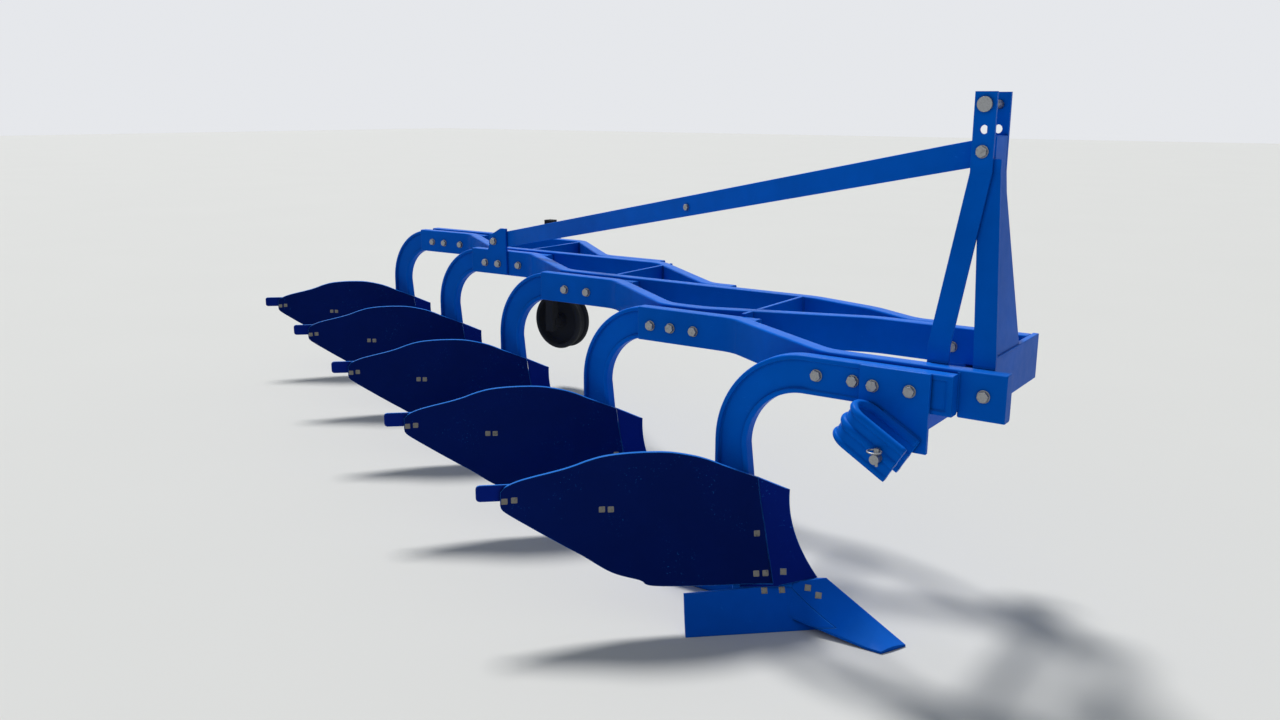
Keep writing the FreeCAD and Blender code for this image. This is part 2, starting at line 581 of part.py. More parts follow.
room_for_land = box("room_for_land", "leg_back", "tip_x + overrun", zero, "board_long", "0 - overrun",
                    "board_high")
frog_blank = cut_in_turn("frog_blank", fuse("frog_parts", frog_faces + [webs]),
                         [room_for_land, wedge_whole, leg_blank, board_blank, shin_blank,
                          share_blank] + frog_studs)

# brace from the leg to the back of the mouldboard
brace_root = [("leg_back + rim", "brace_up - brace_wide"),
              ("leg_back + rim + brace_wide", "brace_up - brace_wide"),
              ("leg_back + rim + brace_wide", "brace_up"), ("leg_back + rim", "brace_up")]
brace_foot = [("leg_back - brace_back", "brace_up - brace_wide / 4"),
              ("leg_back - brace_back + brace_wide / 2", "brace_up - brace_wide / 4"),
              ("leg_back - brace_back + brace_wide / 2", "brace_up + brace_wide / 2"),
              ("leg_back - brace_back", "brace_up + brace_wide / 2")]
brace_run = loft("brace_run", "XZ",
                 [("0 - leg_thick", brace_root), ("0 - leg_thick - brace_out", brace_foot)])
brace_pad = blade("brace_pad", "blade", [("brace_at - brace_wide", "brace_up - brace_wide / 2"),
                                         ("brace_at + brace_wide", "brace_up - brace_wide / 2"),
                                         ("brace_at + brace_wide", "brace_up + brace_wide / 2"),
                                         ("brace_at - brace_wide", "brace_up + brace_wide / 2")],
                  "blade_thick", "blade_thick + brace_thick")
brace_blank = cut("brace_blank", fuse("brace_parts", [brace_run, brace_pad]), [blade_front] + brace_studs)
land_blank = box("land_blank", "land_rear", "land_front", zero, "land_thick", zero, "land_high")

for node, blank, own_studs in (("mouldboard", board_blank, board_studs), ("shin", shin_blank, shin_studs),
                               ("share", share_blank, share_studs),
                               ("bar_point", point_blank, point_studs)):
    drilled = cut_in_turn(node + "_drilled", blank, own_studs)
    for n in range(1, body_count + 1):
        finish("%s_%d" % (node, n), [drilled], step_x(n), furrow_y(n))
finish("frogs", each_body("frog", frog_blank))
finish("board_braces", each_body("brace", brace_blank))
finish("tail_pieces", each_body("tail", cut_in_turn("tail_drilled", tail_blank, tail_studs)))
finish("landsides", each_body("land", land_blank))
stud_set = group("stud_set", board_studs + share_studs + shin_studs + point_studs)
finish("plough_bolts", each_body("studs", stud_set))

# Hitch
pin_x = "(clevis_x - hitch_pin_back * cos(clevis_slope) - hitch_pin_down * sin(clevis_slope))"
pin_z = "(clevis_z + hitch_pin_back * sin(clevis_slope) - hitch_pin_down * cos(clevis_slope))"
bead_out = "(clevis_bead - clevis_thick / 2)"
sides = {"right": ("0 - leg_thick - plate_thick",
                   "0 - leg_thick - plate_thick - %s - clevis_wide" % bead_out, "-"),
         "left": ("left_rail + bar_thick", "left_rail + bar_thick + plate_thick + %s" % bead_out, "+")}
tube_section = [("tube_front - tube_side", "tube_front"), ("tube_top - tube_side", "tube_top")]
tube = [box("tube_" + tag, "%s + %s" % (tube_section[0][0], wall), "%s - %s" % (tube_section[0][1], wall),
            "0 - leg_thick - (%s)" % extra, "left_rail + bar_thick + (%s)" % extra,
            "%s + %s" % (tube_section[1][0], wall), "%s - %s" % (tube_section[1][1], wall))
        for tag, wall, extra in (("out", zero, zero), ("in", "tube_wall", "overrun"))]


def clevis_section(mid):
    """Section of the clevis strap about its middle line: a flat with a round bead on both edges."""
    half = "clevis_thick / 2"
    low = "(clevis_bead - clevis_deep)"
    corners = [("%s + %s" % (mid, half), low + " + clevis_bead"),
               ("%s + %s" % (mid, half), "0 - 2 * clevis_bead")]
    turns_up, turns_down = range(-30, 211, 30), range(150, 391, 30)
    corners += [("%s + clevis_bead * cos(%d)" % (mid, a),
                 "clevis_bead * (sin(%d) - 1)" % a) for a in turns_up]
    corners += [("%s - %s" % (mid, half), "0 - 2 * clevis_bead"),
                ("%s - %s" % (mid, half), low + " + clevis_bead")]
    corners += [("%s + clevis_bead * cos(%d)" % (mid, a),
                 "%s + clevis_bead * sin(%d)" % (low, a)) for a in turns_down]
    return corners


def revolve(name, plane, corners, axis, angle):
    solid = doc.addObject("Part::Revolution", name)
    solid.Source = outline(name, plane, corners)
    solid.Axis = FreeCAD.Vector(*axis)
    solid.Angle = angle
    solid.Solid = True
    return solid


def clevis(side, start):
    """Strap bent to a U that slopes down to its open front."""
    mid = "(clevis_wide / 2 - clevis_thick / 2)"
    turn = "(clevis_wide / 2 - clevis_long)"
    parts = [prism("clevis_%s_arm_%d" % (side, i), "YZ",
                   clevis_section("(clevis_wide / 2 %s %s)" % (sign, mid)), turn,
                   "0 - " + turn) for i, sign in enumerate("-+")]
    half_turn = revolve("clevis_%s_bend" % side, "XZ", clevis_section(mid), (0, 0, 1), 180)
    parts.append(at(half_turn, turn, "clevis_wide / 2", zero, (0, 0, 1), "90"))
    return at(fuse("clevis_%s_blank" % side, parts), "clevis_x", start, "clevis_z", (0, 1, 0),
              "clevis_slope")


bores, lynch_pins = {}, []


def lynch_pin(tag, x, y, z, pin_round, sign):
    """Spring ring pin through a cross hole: returns the pin and its hole."""
    hole = rod(tag + "_hole", "lynch_round + fit_gap / 3", "%s * 4" % pin_round, x, y,
               "%s - %s * 2" % (z, pin_round), "z")
    top = "(%s + %s)" % (z, pin_round)
    peg = rod(tag + "_peg", "lynch_round", "%s * 2 + lynch_round * 3" % pin_round, x, y,
              "%s - %s - lynch_round * 2" % (z, pin_round), "z")
    eye = box(tag + "_eye", "%s - lynch_round * 1.4" % x, "%s + lynch_round * 1.4" % x,
              "(%s) - lynch_round * 1.2" % y, "(%s) + lynch_round * 1.2" % y,
              top + " + lynch_round * 0.6", top + " + lynch_round * 3")
    loop = ring(tag + "_loop", "lynch_ring", "lynch_wire", x, "(%s) %s lynch_ring" % (y, sign),
                top + " + lynch_round * 2")
    lynch_pins.append(fuse(tag, [peg, eye, loop]))
    return hole


for side, (plate_y, start, sign) in sides.items():
    plate = prism("plate_" + side, "XZ",
                  [("plate_rear", "leg_top"), ("plate_front", "leg_top"), ("plate_front", "plate_low"),
                                          ("plate_front - plate_nose", "plate_low"),
                                          ("plate_rear + plate_nose", "leg_top - leg_deep - plate_nose"),
                                          ("plate_rear", "leg_top - leg_deep")], plate_y, "plate_thick")
    face = "(0 - leg_thick - plate_thick)" if side == "right" else "(left_rail + bar_thick + plate_thick)"
    back = "(%s %s (plate_thick + seam_gap))" % (face, "+" if side == "right" else "-")
    reach = "(plate_thick + clevis_wide + clevis_bead + lynch_round * 6)"
    low_y = "(%s - %s)" % (back, reach) if side == "right" else back
    bores[side] = rod("pin_bore_" + side, "hitch_pin_round + fit_gap", "%s + 2 * overrun" % reach, pin_x,
                      "%s - overrun" % low_y, pin_z)
    finish("hitch_plate_" + side,
           [cut("plate_%s_drilled" % side, plate, plate_holes[side] + [bores[side]])])
    finish("hitch_clevis_" + side, [cut("clevis_%s_bored" % side, clevis(side, start), [bores[side]])])
    shank = rod("pin_%s_shank" % side, "hitch_pin_round", reach, pin_x, low_y, pin_z)
    head_y = back if side == "right" else "%s - head_high" % back
    head = rod("pin_%s_head" % side, "hitch_pin_round * 1.5", "head_high", pin_x, head_y, pin_z)
    peg_y = "(%s %s (clevis_wide + clevis_bead + lynch_round * 1.5))" % (face, sign)
    hole = lynch_pin("lynch_" + side, pin_x, peg_y, pin_z, "hitch_pin_round", sign)
    finish("hitch_pin_" + side,
           [cut("pin_%s_drilled" % side, fuse("pin_%s_blank" % side, [shank, head]), [hole])])
tube_room = [box("head_room_" + side, "%s - 2 * hitch_pin_round" % pin_x,
                 "%s + 2 * hitch_pin_round" % pin_x,
                 "%s - 2 * overrun" % y, "%s + 2 * overrun" % y, "%s - 2 * hitch_pin_round" % pin_z,
                 "%s + 2 * hitch_pin_round" % pin_z) for side, y in (("right", "(0 - leg_thick)"),
                                                                    ("left", "(left_rail + bar_thick)"))]
finish("hitch_cross_tube", [cut("tube_hollow", tube[0], [tube[1]] + tube_room)])


# Mast
def flat_section(x, y):
    """Section of a mast flat, centred along X and starting at y."""
    x0, x1 = "(%s) - mast_wide / 2" % x, "(%s) + mast_wide / 2" % x
    return [(x0, y), (x1, y), (x1, "(%s) + mast_thick" % y), (x0, "(%s) + mast_thick" % y)]


def cranked_flat(name, foot_x, foot_y, bend, top_x, top_y, top):
    """Mast flat: upright foot, leaning run and upright head."""
    foot, head = flat_section(foot_x, foot_y), flat_section(top_x, top_y)
    return loft(name, "XY", [("foot_low", foot), (bend, foot), ("mast_bend", head), (top, head)])


mid = "(left_rail / 2)"
near_y, far_y = "(%s - mast_half - mast_thick)" % mid, "(%s + mast_half)" % mid
mast_bores = [rod("mast_bore_%d" % i, radius, "mast_half * 4", "mast_x", "%s - mast_half * 2" % mid, z)
              for i, (radius, z) in enumerate((("top_pin_round + fit_gap", "top_pin_z"),
                                               ("top_pin_round + fit_gap", "spare_hole_z")))]
stay_near, stay_far = near_y, "(%s + mast_thick)" % far_y
mast_bores.append(bolt("stay_front", "mast_x", stay_near, stay_far, "stay_bolt_z"))
mast_right = cranked_flat("mast_right_blank", "mast_foot_x", "bar_thick", "foot_bend", "mast_x", near_y,
                          "mast_top")
mast_left = cranked_flat("mast_left_blank", "mast_foot_x", "left_rail - mast_thick", "foot_bend", "mast_x",
                         far_y,
                         "mast_top")
finish("mast_plate_right", [cut("mast_right", mast_right, mast_bores + plate_holes["right"])])
finish("mast_plate_left", [cut("mast_left", mast_left, mast_bores + plate_holes["left"])])
front_leg = cranked_flat("front_leg_blank", "front_leg_x", "bar_thick", "front_leg_bend", "front_leg_top_x",
                         "%s + mast_thick" % near_y, "mast_bend + front_leg_head")
finish("mast_front_leg", [cut_in_turn("front_leg", front_leg, [block_hole, mast_bores[2], mast_right])])
plate_x = "front_plate_at + front_plate_thick"
head_x = "mast_x + mast_wide / 2"
centre = [[("%s - mast_thick" % x, y0), (x, y0), (x, y1), ("%s - mast_thick" % x, y1)] for x, y0, y1 in (
    (plate_x, "%s - centre_foot / 2" % mid, "%s + centre_foot / 2" % mid),
    (head_x, "%s - mast_half + mast_thick" % mid, "%s + mast_half" % mid))]
centre_blank = loft("centre_blank", "XY",
                    [("bar_top", centre[0]), ("mast_bend", centre[1]), ("centre_top", centre[1])])
finish("mast_centre_plate", [cut("mast_centre", centre_blank, [front_leg])])

top_shank = rod("top_pin_shank", "top_pin_round", "2 * mast_half + 2 * mast_thick + lynch_round * 5",
                "mast_x", near_y, "top_pin_z")
top_head = rod("top_pin_head", "top_head_round", "top_head_thick", "mast_x", "%s - top_head_thick" % near_y,
               "top_pin_z")
top_hole = lynch_pin("lynch_top", "mast_x", "%s + lynch_round * 1.5" % stay_far, "top_pin_z",
                     "top_pin_round", "+")
finish("top_link_pin", [cut("top_pin_drilled", fuse("top_pin_blank", [top_shank, top_head]), [top_hole])])
finish("lynch_pins", lynch_pins)

# Stay from the mast back to bar 3: a flat with two gentle bends, seen in plan, and a slope
rear_y = "(%s - leg_thick - bar_thick)" % furrow_y(4)
front_y = "(%s - stay_thick / 2)" % mid
bend_share = 0.17
stay_front = "mast_wide / 2 - mast_thick - seam_gap"
stay_xs = ["mast_x + " + stay_front, "mast_x - stay_tab", "0 - stay_rear_x + stay_tab",
           "0 - stay_rear_x - stay_over"]
near_line = list(zip(stay_xs, (front_y, front_y, rear_y, rear_y)))
far_line = [("%s + stay_thick * %s" % (x, share), "%s + stay_thick" % y)
            for (x, y), share in zip(near_line, (0, bend_share, bend_share, 0))]
stay_plan = prism("stay_plan", "XY", near_line + far_line[::-1], "bar_top / 2", "bar_top * 2")
slope = "((stay_bolt_z - stay_rear_z) / (mast_x + stay_rear_x))"
high_z, low_z = "(stay_bolt_z + %s * (%s))" % (slope, stay_front), "(stay_rear_z - %s * stay_over)" % slope
stay_side = prism("stay_side", "XZ",
                  [(stay_xs[3], low_z + " - stay_deep / 2"), (stay_xs[0], high_z + " - stay_deep / 2"),
                                      (stay_xs[0], high_z + " + stay_deep / 2"),
                                      (stay_xs[3], low_z + " + stay_deep / 2")],
                  zero, "%s * 1.2" % rear_y)
bracket_y = "(%s - bracket_thick)" % rear_y
rear_bore = bolt("stay_rear", "0 - stay_rear_x", bracket_y, "%s + stay_thick" % rear_y, "stay_rear_z")
stay_blank = common("stay_blank", stay_plan, stay_side)
finish("stay_bar", [cut_in_turn("stay", stay_blank, [mast_bores[2], rear_bore, bars[3]])])
bracket = prism("bracket", "XZ", [("0 - bracket_rear", "bracket_low"), ("0 - bracket_front", "bracket_low"),
                                  ("0 - bracket_front", "bracket_top"),
                                  ("0 - bracket_front - stay_over * 0.8", "bracket_top"),
                                  ("0 - bracket_front - stay_over * 2", "bracket_shoulder")], bracket_y,
                "bracket_thick")
finish("stay_bracket", [cut("bracket_drilled", bracket, leg_holes[4] + [rear_bore])])
spacers = []
for i, (y0, y1) in enumerate(((near_y + " + mast_thick", front_y), (front_y + " + stay_thick", far_y))):
    tube_blank = rod("spacer_%d" % i, "bolt_head", "(%s) - (%s)" % (y1, y0), "mast_x", y0, "stay_bolt_z")
    spacers.append(cut("spacer_%d_bored" % i, tube_blank,
                       [mast_bores[2]] + ([front_leg] if i == 0 else [])))
finish("stay_spacers", spacers)

# Depth wheel on the left, its post held in a clamp on bar 5
rail_y = "(%s + bar_thick)" % furrow_y(5)
post_y = "(%s + post_gap)" % rail_y
post_mid = "(%s + post_side / 2)" % post_y
wheel_x = "(0 - wheel_x)"
hub_in = "(wheel_y - wheel_wide / 2)"
post = box("post", "%s - post_side / 2" % wheel_x, "%s + post_side / 2" % wheel_x, post_y,
           "%s + post_side" % post_y,
           "wheel_z - post_side", "post_top")
axle = rod("axle", "axle_round", "wheel_y + wheel_wide / 2 + wheel_wall - %s" % post_mid, wheel_x, post_mid,
           "wheel_z")
collar = rod("axle_collar", "hub_round", "%s - fit_gap - %s" % (hub_in, post_mid), wheel_x, post_mid,
             "wheel_z")
finish("wheel_post", [fuse("wheel_post_blank", [post, axle, collar])])
bore, wide = "axle_round + axle_play", "wheel_wide"
rim_in, rim_out = "wheel_round - wheel_wall * 2", "wheel_round - wheel_wall * 0.4"
half_section = [(bore, "wide / 2"), ("hub_round", "wide / 2"), ("hub_round", "wide / 8"),
                (rim_in, "wide / 8"),
                ("wheel_round - wheel_wall * 1.6", "wide / 2"), (rim_out, "wide / 2"),
                ("wheel_round", "wide / 3"),
                ("wheel_round", "wide / 12"), ("wheel_round - wheel_wall / 2", "wide / 20")]
half_section = [(r, y.replace("wide", wide)) for r, y in half_section]
section = half_section + [(r, "0 - " + y) for r, y in half_section[::-1]]
wheel = revolve("wheel", "XY", section, (0, 1, 0), 360)
finish("depth_wheel", [at(wheel, wheel_x, "wheel_y", "wheel_z")])
cap = rod("wheel_cap_blank", "hub_round * 0.8", "wheel_wall", wheel_x, "wheel_y + wheel_wide / 2 + fit_gap",
          "wheel_z")
finish("wheel_cap", [cut("wheel_cap", cap, [axle])])
clamp_low, clamp_out_y = "(bar_top - clamp_high)", "(%s + post_side + clamp_wall)" % post_y
clamp_block = box("clamp_block", "%s - post_side / 2 - clamp_wall" % wheel_x,
                  "%s + post_side / 2 + clamp_wall" % wheel_x,
                  rail_y, clamp_out_y, clamp_low, "bar_top")
clamp_hole = box("clamp_hole", "%s - post_side / 2 - fit_gap" % wheel_x,
                 "%s + post_side / 2 + fit_gap" % wheel_x,
                 post_y + " - fit_gap", "%s + post_side + fit_gap" % post_y, clamp_low + " - overrun",
                 "bar_top + overrun")
screw_z = "(bar_top - clamp_high / 2)"
screw_hole = rod("screw_hole", "screw_round + axle_play", "clamp_wall * 3", wheel_x,
                 clamp_out_y + " - clamp_wall * 2", screw_z)
finish("post_clamp", [cut("clamp", clamp_block, [clamp_hole, screw_hole])])
screw = [rod("screw_shank", "screw_round", "clamp_wall * 4 - 2 * fit_gap", wheel_x,
             clamp_out_y + " - clamp_wall + 2 * fit_gap", screw_z),
         rod("screw_head", "screw_round * 1.8", "clamp_wall", wheel_x, clamp_out_y + " + clamp_wall * 3",
             screw_z),
         rod("screw_handle", "handle_round", "handle_long", wheel_x, clamp_out_y + " + clamp_wall * 3.5",
             screw_z + " - handle_long / 2", "z")]
finish("clamp_screw", [fuse("clamp_screw_blank", screw)])
finish("frame_bolts", bolts)
finish("frame_nuts", nuts)

# The origin goes to the ground under the middle of the plough
doc.recompute()
boxes = [thing.Shape.BoundBox for _, thing in pieces]
middle = {"origin_x": (min(b.XMin for b in boxes) + max(b.XMax for b in boxes)) / 2,
          "origin_y": (min(b.YMin for b in boxes) + max(b.YMax for b in boxes)) / 2,
          "origin_z": min(b.ZMin for b in boxes)}
for row, (alias, _) in enumerate(sizes, start=1):
    if alias in middle:
        sheet.set("B%d" % row, repr(middle[alias]))
doc.recompute()

bad = [o.Name for o in doc.Objects if "Invalid" in o.State or "Error" in o.State]
if bad:
    raise RuntimeError("failed objects: " + ", ".join(bad))
for node, thing in pieces:
    if thing.Shape.isNull() or not thing.Shape.isValid() or not thing.Shape.Solids:
        raise RuntimeError("bad shape: " + node)
os.makedirs("parts", exist_ok=True)
for node, thing in pieces:
    thing.Shape.exportStep("parts/%s.step" % node)
print(len(pieces), "pieces,", sum(len(thing.Shape.Solids) for _, thing in pieces), "solids")
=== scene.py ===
"""Mounted mouldboard plough: finished surfaces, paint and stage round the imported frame."""
import functools
import math

import bmesh
import bpy
import numpy as np
from mathutils import Matrix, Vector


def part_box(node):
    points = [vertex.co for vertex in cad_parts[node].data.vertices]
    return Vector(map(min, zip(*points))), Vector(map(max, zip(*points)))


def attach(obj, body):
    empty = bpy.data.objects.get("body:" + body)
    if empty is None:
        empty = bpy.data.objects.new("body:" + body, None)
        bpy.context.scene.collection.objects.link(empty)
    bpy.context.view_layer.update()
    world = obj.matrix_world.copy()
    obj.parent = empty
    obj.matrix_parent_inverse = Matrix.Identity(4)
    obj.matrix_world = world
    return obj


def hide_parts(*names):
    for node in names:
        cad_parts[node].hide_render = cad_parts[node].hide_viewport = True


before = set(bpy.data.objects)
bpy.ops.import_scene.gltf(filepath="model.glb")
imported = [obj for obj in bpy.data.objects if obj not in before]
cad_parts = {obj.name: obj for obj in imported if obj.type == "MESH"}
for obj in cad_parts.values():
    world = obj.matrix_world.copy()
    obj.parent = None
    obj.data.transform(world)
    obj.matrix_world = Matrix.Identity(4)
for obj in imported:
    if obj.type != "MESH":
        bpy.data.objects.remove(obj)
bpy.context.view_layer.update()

bl_info = {
    "name": "Mouldboard plough",
    "version": (1, 0, 0),
    "blender": (4, 5, 0),
    "location": "View3D > Sidebar > Plough",
    "description": "Dresses a tractor-mounted plough in painted steel and sets its stage",
    "category": "Object",
}

MM = 0.001
BODIES = range(1, 6)
# From body to body, in millimetres: along, across from body 1 to body 2, and across after that
BODY_STEP, FIRST_FURROW, FURROW = 850, 403, 457
# Legs' and bars' thickness, right face of the left rail, and the bars' heights and front end
LEG_THICK, BAR_THICK, LEFT_RAIL = 50, 50, 600
BAR_TOP, BAR_LOW, FRONT_END = 885, 760, 1640

# The plough is laid out in millimetres from the first body, as the solids are. These two
# faces of the frame say where that layout lies in metres.
ORIGIN = np.array([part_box("frame_bar_1")[1][0] - FRONT_END * MM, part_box("leg_1")[1][1], 0.0])


def placed(points):
    """Layout millimetres to the frame's metres."""
    return np.asarray(points, float) * MM + ORIGIN


def furrow_y(n):
    """Left face of leg n, in layout millimetres."""
    return 0 if n == 1 else FIRST_FURROW + FURROW * (n - 2)


def step_x(n):
    """Place of body n along, in layout millimetres from body 1."""
    return -BODY_STEP * (n - 1)


def body_shift(n):
    """Place of body n, in layout millimetres from body 1."""
    return np.array([step_x(n), furrow_y(n), 0.0])


# Colours and sizes that a user may change

def linear(code):
    """sRGB hex colour as linear red, green and blue."""
    share = np.array([int(code[i:i + 2], 16) for i in (1, 3, 5)]) / 255
    return tuple(np.where(share <= 0.04045, share / 12.92, ((share + 0.055) / 1.055) ** 2.4))


def colour(name, code, words):
    """Colour that a user may change, from its sRGB hex code."""
    return bpy.props.FloatVectorProperty(name=name, description=words, subtype="COLOR", size=3,
                                         min=0, max=1, default=linear(code))


def length(name, metres, words):
    """Length that a user may change."""
    return bpy.props.FloatProperty(name=name, description=words, unit="LENGTH", min=0, default=metres)


class PloughColours(bpy.types.PropertyGroup):
    frame_blue: colour("Frame blue", "#0062D2", "Enamel on the frame, legs, mast and hitch")
    board_navy: colour("Mouldboard navy", "#051A5E", "Enamel on the mouldboards")
    shin_navy: colour("Shin navy", "#07207C", "Enamel on the shins")
    share_blue: colour("Share blue", "#0558C8", "Enamel on the shares and points")
    # also the colour of the painted highlight along edges and on tops
    scuffed_and_highlight: colour("Scuffed paint", "#2E86F0", "Paint rubbed thin along edges and in scuffs")
    zinc: colour("Zinc", "#9A9C9E", "Zinc plating on bolts and pins")
    stud: colour("Plough bolt", "#77756F", "Plain steel of the square bolt heads")
    wheel_black: colour("Wheel black", "#313234", "Paint on the depth wheel and its post")
    dust: colour("Dust", "#8C8475", "Dry dust lying on the paint")
    floor: colour("Floor", "#D9D8D4", "Plain floor under the plough")


class PloughSizes(bpy.types.PropertyGroup):
    bar_round: length("Bar edge radius", 0.007, "Rolled edge of the frame bars")
    leg_round: length("Leg edge radius", 0.009, "Forged edge of the legs")
    plate_round: length("Plate edge radius", 0.003, "Broken edge of the plates and flats")
    bend_reach: length("Bend reach", 0.045, "Length over which a bar turns at a crank")
    blade_round: length("Blade edge radius", 0.003, "Worn edge of the mouldboards, shins and shares")
    weld_round: length("Weld radius", 0.004, "Half the width of a weld bead")


# The materials by their short names, made by the stage
FINISHES = {}


# Surfaces

def mesh_piece(name, shape, finish, body="plough", replaces=(), bevel=0.0, limit=60):
    """Mesh object of a shape in metres, that rides on a body and stands for the named nodes."""
    verts, faces = shape
    mesh = bpy.data.meshes.new(name)
    mesh.from_pydata(verts.tolist(), [], faces)
    mesh.validate()
    finish_piece(bpy.data.objects.new(name, mesh), finish, body, replaces, bevel, limit)


def finish_piece(thing, finish, body, replaces, bevel, limit):
    """Smooth faces, one finish, edges past the limit in degrees broken, and the piece's body and nodes."""
    bpy.context.scene.collection.objects.link(thing)
    thing.data.polygons.foreach_set("use_smooth", np.full(len(thing.data.polygons), True))
    thing.data.materials.append(FINISHES[finish])
    if bevel:
        edge = thing.modifiers.new("edges", "BEVEL")
        edge.width, edge.segments = bevel, 3
        edge.limit_method, edge.angle_limit = "ANGLE", math.radians(limit)
        edge.harden_normals = True
    thing.modifiers.new("flats", "WEIGHTED_NORMAL").keep_sharp = True
    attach(thing, body)
    if replaces:
        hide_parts(*replaces)


def joined(parts):
    """Several (verts, faces) shapes as one."""
    verts, faces, start = [], [], 0
    for points, polygons in parts:
        verts.append(points)
        faces += [tuple(i + start for i in polygon) for polygon in polygons]
        start += len(points)
    return np.concatenate(verts), faces


def skin(rings, closed=False):
    """Rings of equal length, one after another: quads between neighbours, a flat cap on each open end."""
    n, m = rings.shape[:2]
    i, j = np.meshgrid(np.arange(n if closed else n - 1), np.arange(m), indexing="ij")
    i2, j2 = (i + 1) % n, (j + 1) % m
    quads = np.stack([i * m + j, i2 * m + j, i2 * m + j2, i * m + j2], axis=-1).reshape(-1, 4)
    faces = [tuple(q) for q in quads.tolist()]
    if not closed:
        faces += [tuple(range(m)), tuple(range(n * m - 1, (n - 1) * m - 1, -1))]
    verts = rings.reshape(-1, 3)
    return verts, outward(verts, faces)


def outward(verts, faces):
    """Turns all faces over if the volume that they enclose comes out negative."""
    quads = np.array([f[:3] for f in faces if len(f) <= 4])
    a, b, c = (verts[quads[:, k]] - verts.mean(0) for k in range(3))
    fourth = np.array([f[3] if len(f) == 4 else f[2] for f in faces if len(f) <= 4])
    d = verts[fourth] - verts.mean(0)
    volume = np.einsum("ij,ij->", a, np.cross(b, c)) + np.einsum("ij,ij->", a, np.cross(c, d))
    return faces if volume > 0 else [tuple(reversed(f)) for f in faces]


def rounded(width, height, radius):
    """Rounded rectangle as shares of its width and height: a quarter circle at each corner."""
    turn = np.linspace(0, np.pi / 2, 5)
    corners = ((width - radius, height - radius), (radius, height - radius), (radius, radius),
               (width - radius, radius))
    loop = []
    for k, (x, y) in enumerate(corners):
        angle = turn + k * np.pi / 2
        loop.append(np.stack([x + radius * np.cos(angle), y + radius * np.sin(angle)], 1))
    return np.concatenate(loop) / (width, height)


def eased(stations, reach):
    """Rounds the inner stations of a path: each becomes a parabola that starts and ends a reach away."""
    out = [stations[:1]]
    share = np.linspace(0, 1, 6)[:, None]
    for before, here, after in zip(stations[:-2], stations[1:-1], stations[2:]):
        back, on = (np.linalg.norm((other - here)[:3]) for other in (before, after))
        a = here + (before - here) * min(reach / back, 0.5)
        b = here + (after - here) * min(reach / on, 0.5)
        out.append((1 - share) ** 2 * a + 2 * share * (1 - share) * here + share ** 2 * b)
    out.append(stations[-1:])
    return np.concatenate(out)


def flat_bar(line, thick, deep, radius, reach=0.0):
    """Flat bar on edge, in metres, its long edges rounded and its bends eased over a reach.

    Each station of its line holds the near lower edge's x, y and z in layout millimetres, and the
    share of the thickness by which the section slants there.
    """
    line = np.asarray(line, float)
    none = np.zeros(len(line))
    across = np.stack([thick * line[:, 3], none + thick, none], 1) * MM
    up = np.stack([none, none, none + deep], 1) * MM
    stations = np.concatenate([placed(line[:, :3]), across, up], 1)
    if reach:
        stations = eased(stations, reach)
    o, a, u = stations[:, None, :3], stations[:, None, 3:6], stations[:, None, 6:]
    loop = rounded(thick * MM, deep * MM, radius)
    return skin(o + loop[None, :, :1] * a + loop[None, :, 1:] * u)


def lathe(profile, centre, axis=(0, 1, 0), up=(0, 0, 1), steps=48, flats=0.0, ring=False):
    """Profile of (along, radius) pairs turned about an axis through the centre.

    With flats, the radius nowhere passes a hexagon whose sides lie that far from the axis. A ring's
    profile is a closed loop.
    """
    profile = np.asarray(profile, float)
    turn = np.linspace(0, 2 * np.pi, steps, endpoint=False)
    radius = np.repeat(profile[:, 1:], steps, 1)
    if flats:
        sector = np.mod(turn + np.pi / 6, np.pi / 3) - np.pi / 6
        radius = np.minimum(radius, flats / np.cos(sector))
    axis, up = np.asarray(axis, float), np.asarray(up, float)
    side = np.cross(up, axis)
    middles = np.asarray(centre, float) + profile[:, None, :1] * axis
    x, y = (radius * np.cos(turn))[..., None], (radius * np.sin(turn))[..., None]
    return skin(middles + x * up + y * side, closed=ring)


def on_body(shape, n):
    """Shape of body 1 moved to body n."""
    return shape[0] + body_shift(n), shape[1]


def in_frame(shape):
    """Shape in layout millimetres to metres."""
    return placed(shape[0]), shape[1]


# Materials

NOISE, RANGE, MATH, MIX = "ShaderNodeTexNoise", "ShaderNodeMapRange", "ShaderNodeMath", "ShaderNodeMix"


def node(tree, kind, sockets=None, out=0, **settings):
    """Adds a node, sets its settings, links or sets its sockets, and gives back one of its outputs."""
    made = tree.nodes.new(kind)
    for key, value in settings.items():
        setattr(made, key, value)
    for key, value in (sockets or {}).items():
        if isinstance(value, bpy.types.NodeSocket):
            tree.links.new(value, made.inputs[key])
        else:
            made.inputs[key].default_value = value
    return made.outputs[out] if made.outputs else None


def material(name):
    """Empty material, the call that adds nodes to it, and its object coordinates."""
    made = bpy.data.materials.new(name)
    made.use_nodes = True
    made.node_tree.nodes.clear()
    add = functools.partial(node, made.node_tree)
    return made, add, add("ShaderNodeTexCoord", out="Object")


def rgba(value, gain=1.0):
    """Colour times a gain, as a socket's four numbers."""
    return tuple(min(1.0, v * gain) for v in value) + (1.0,)


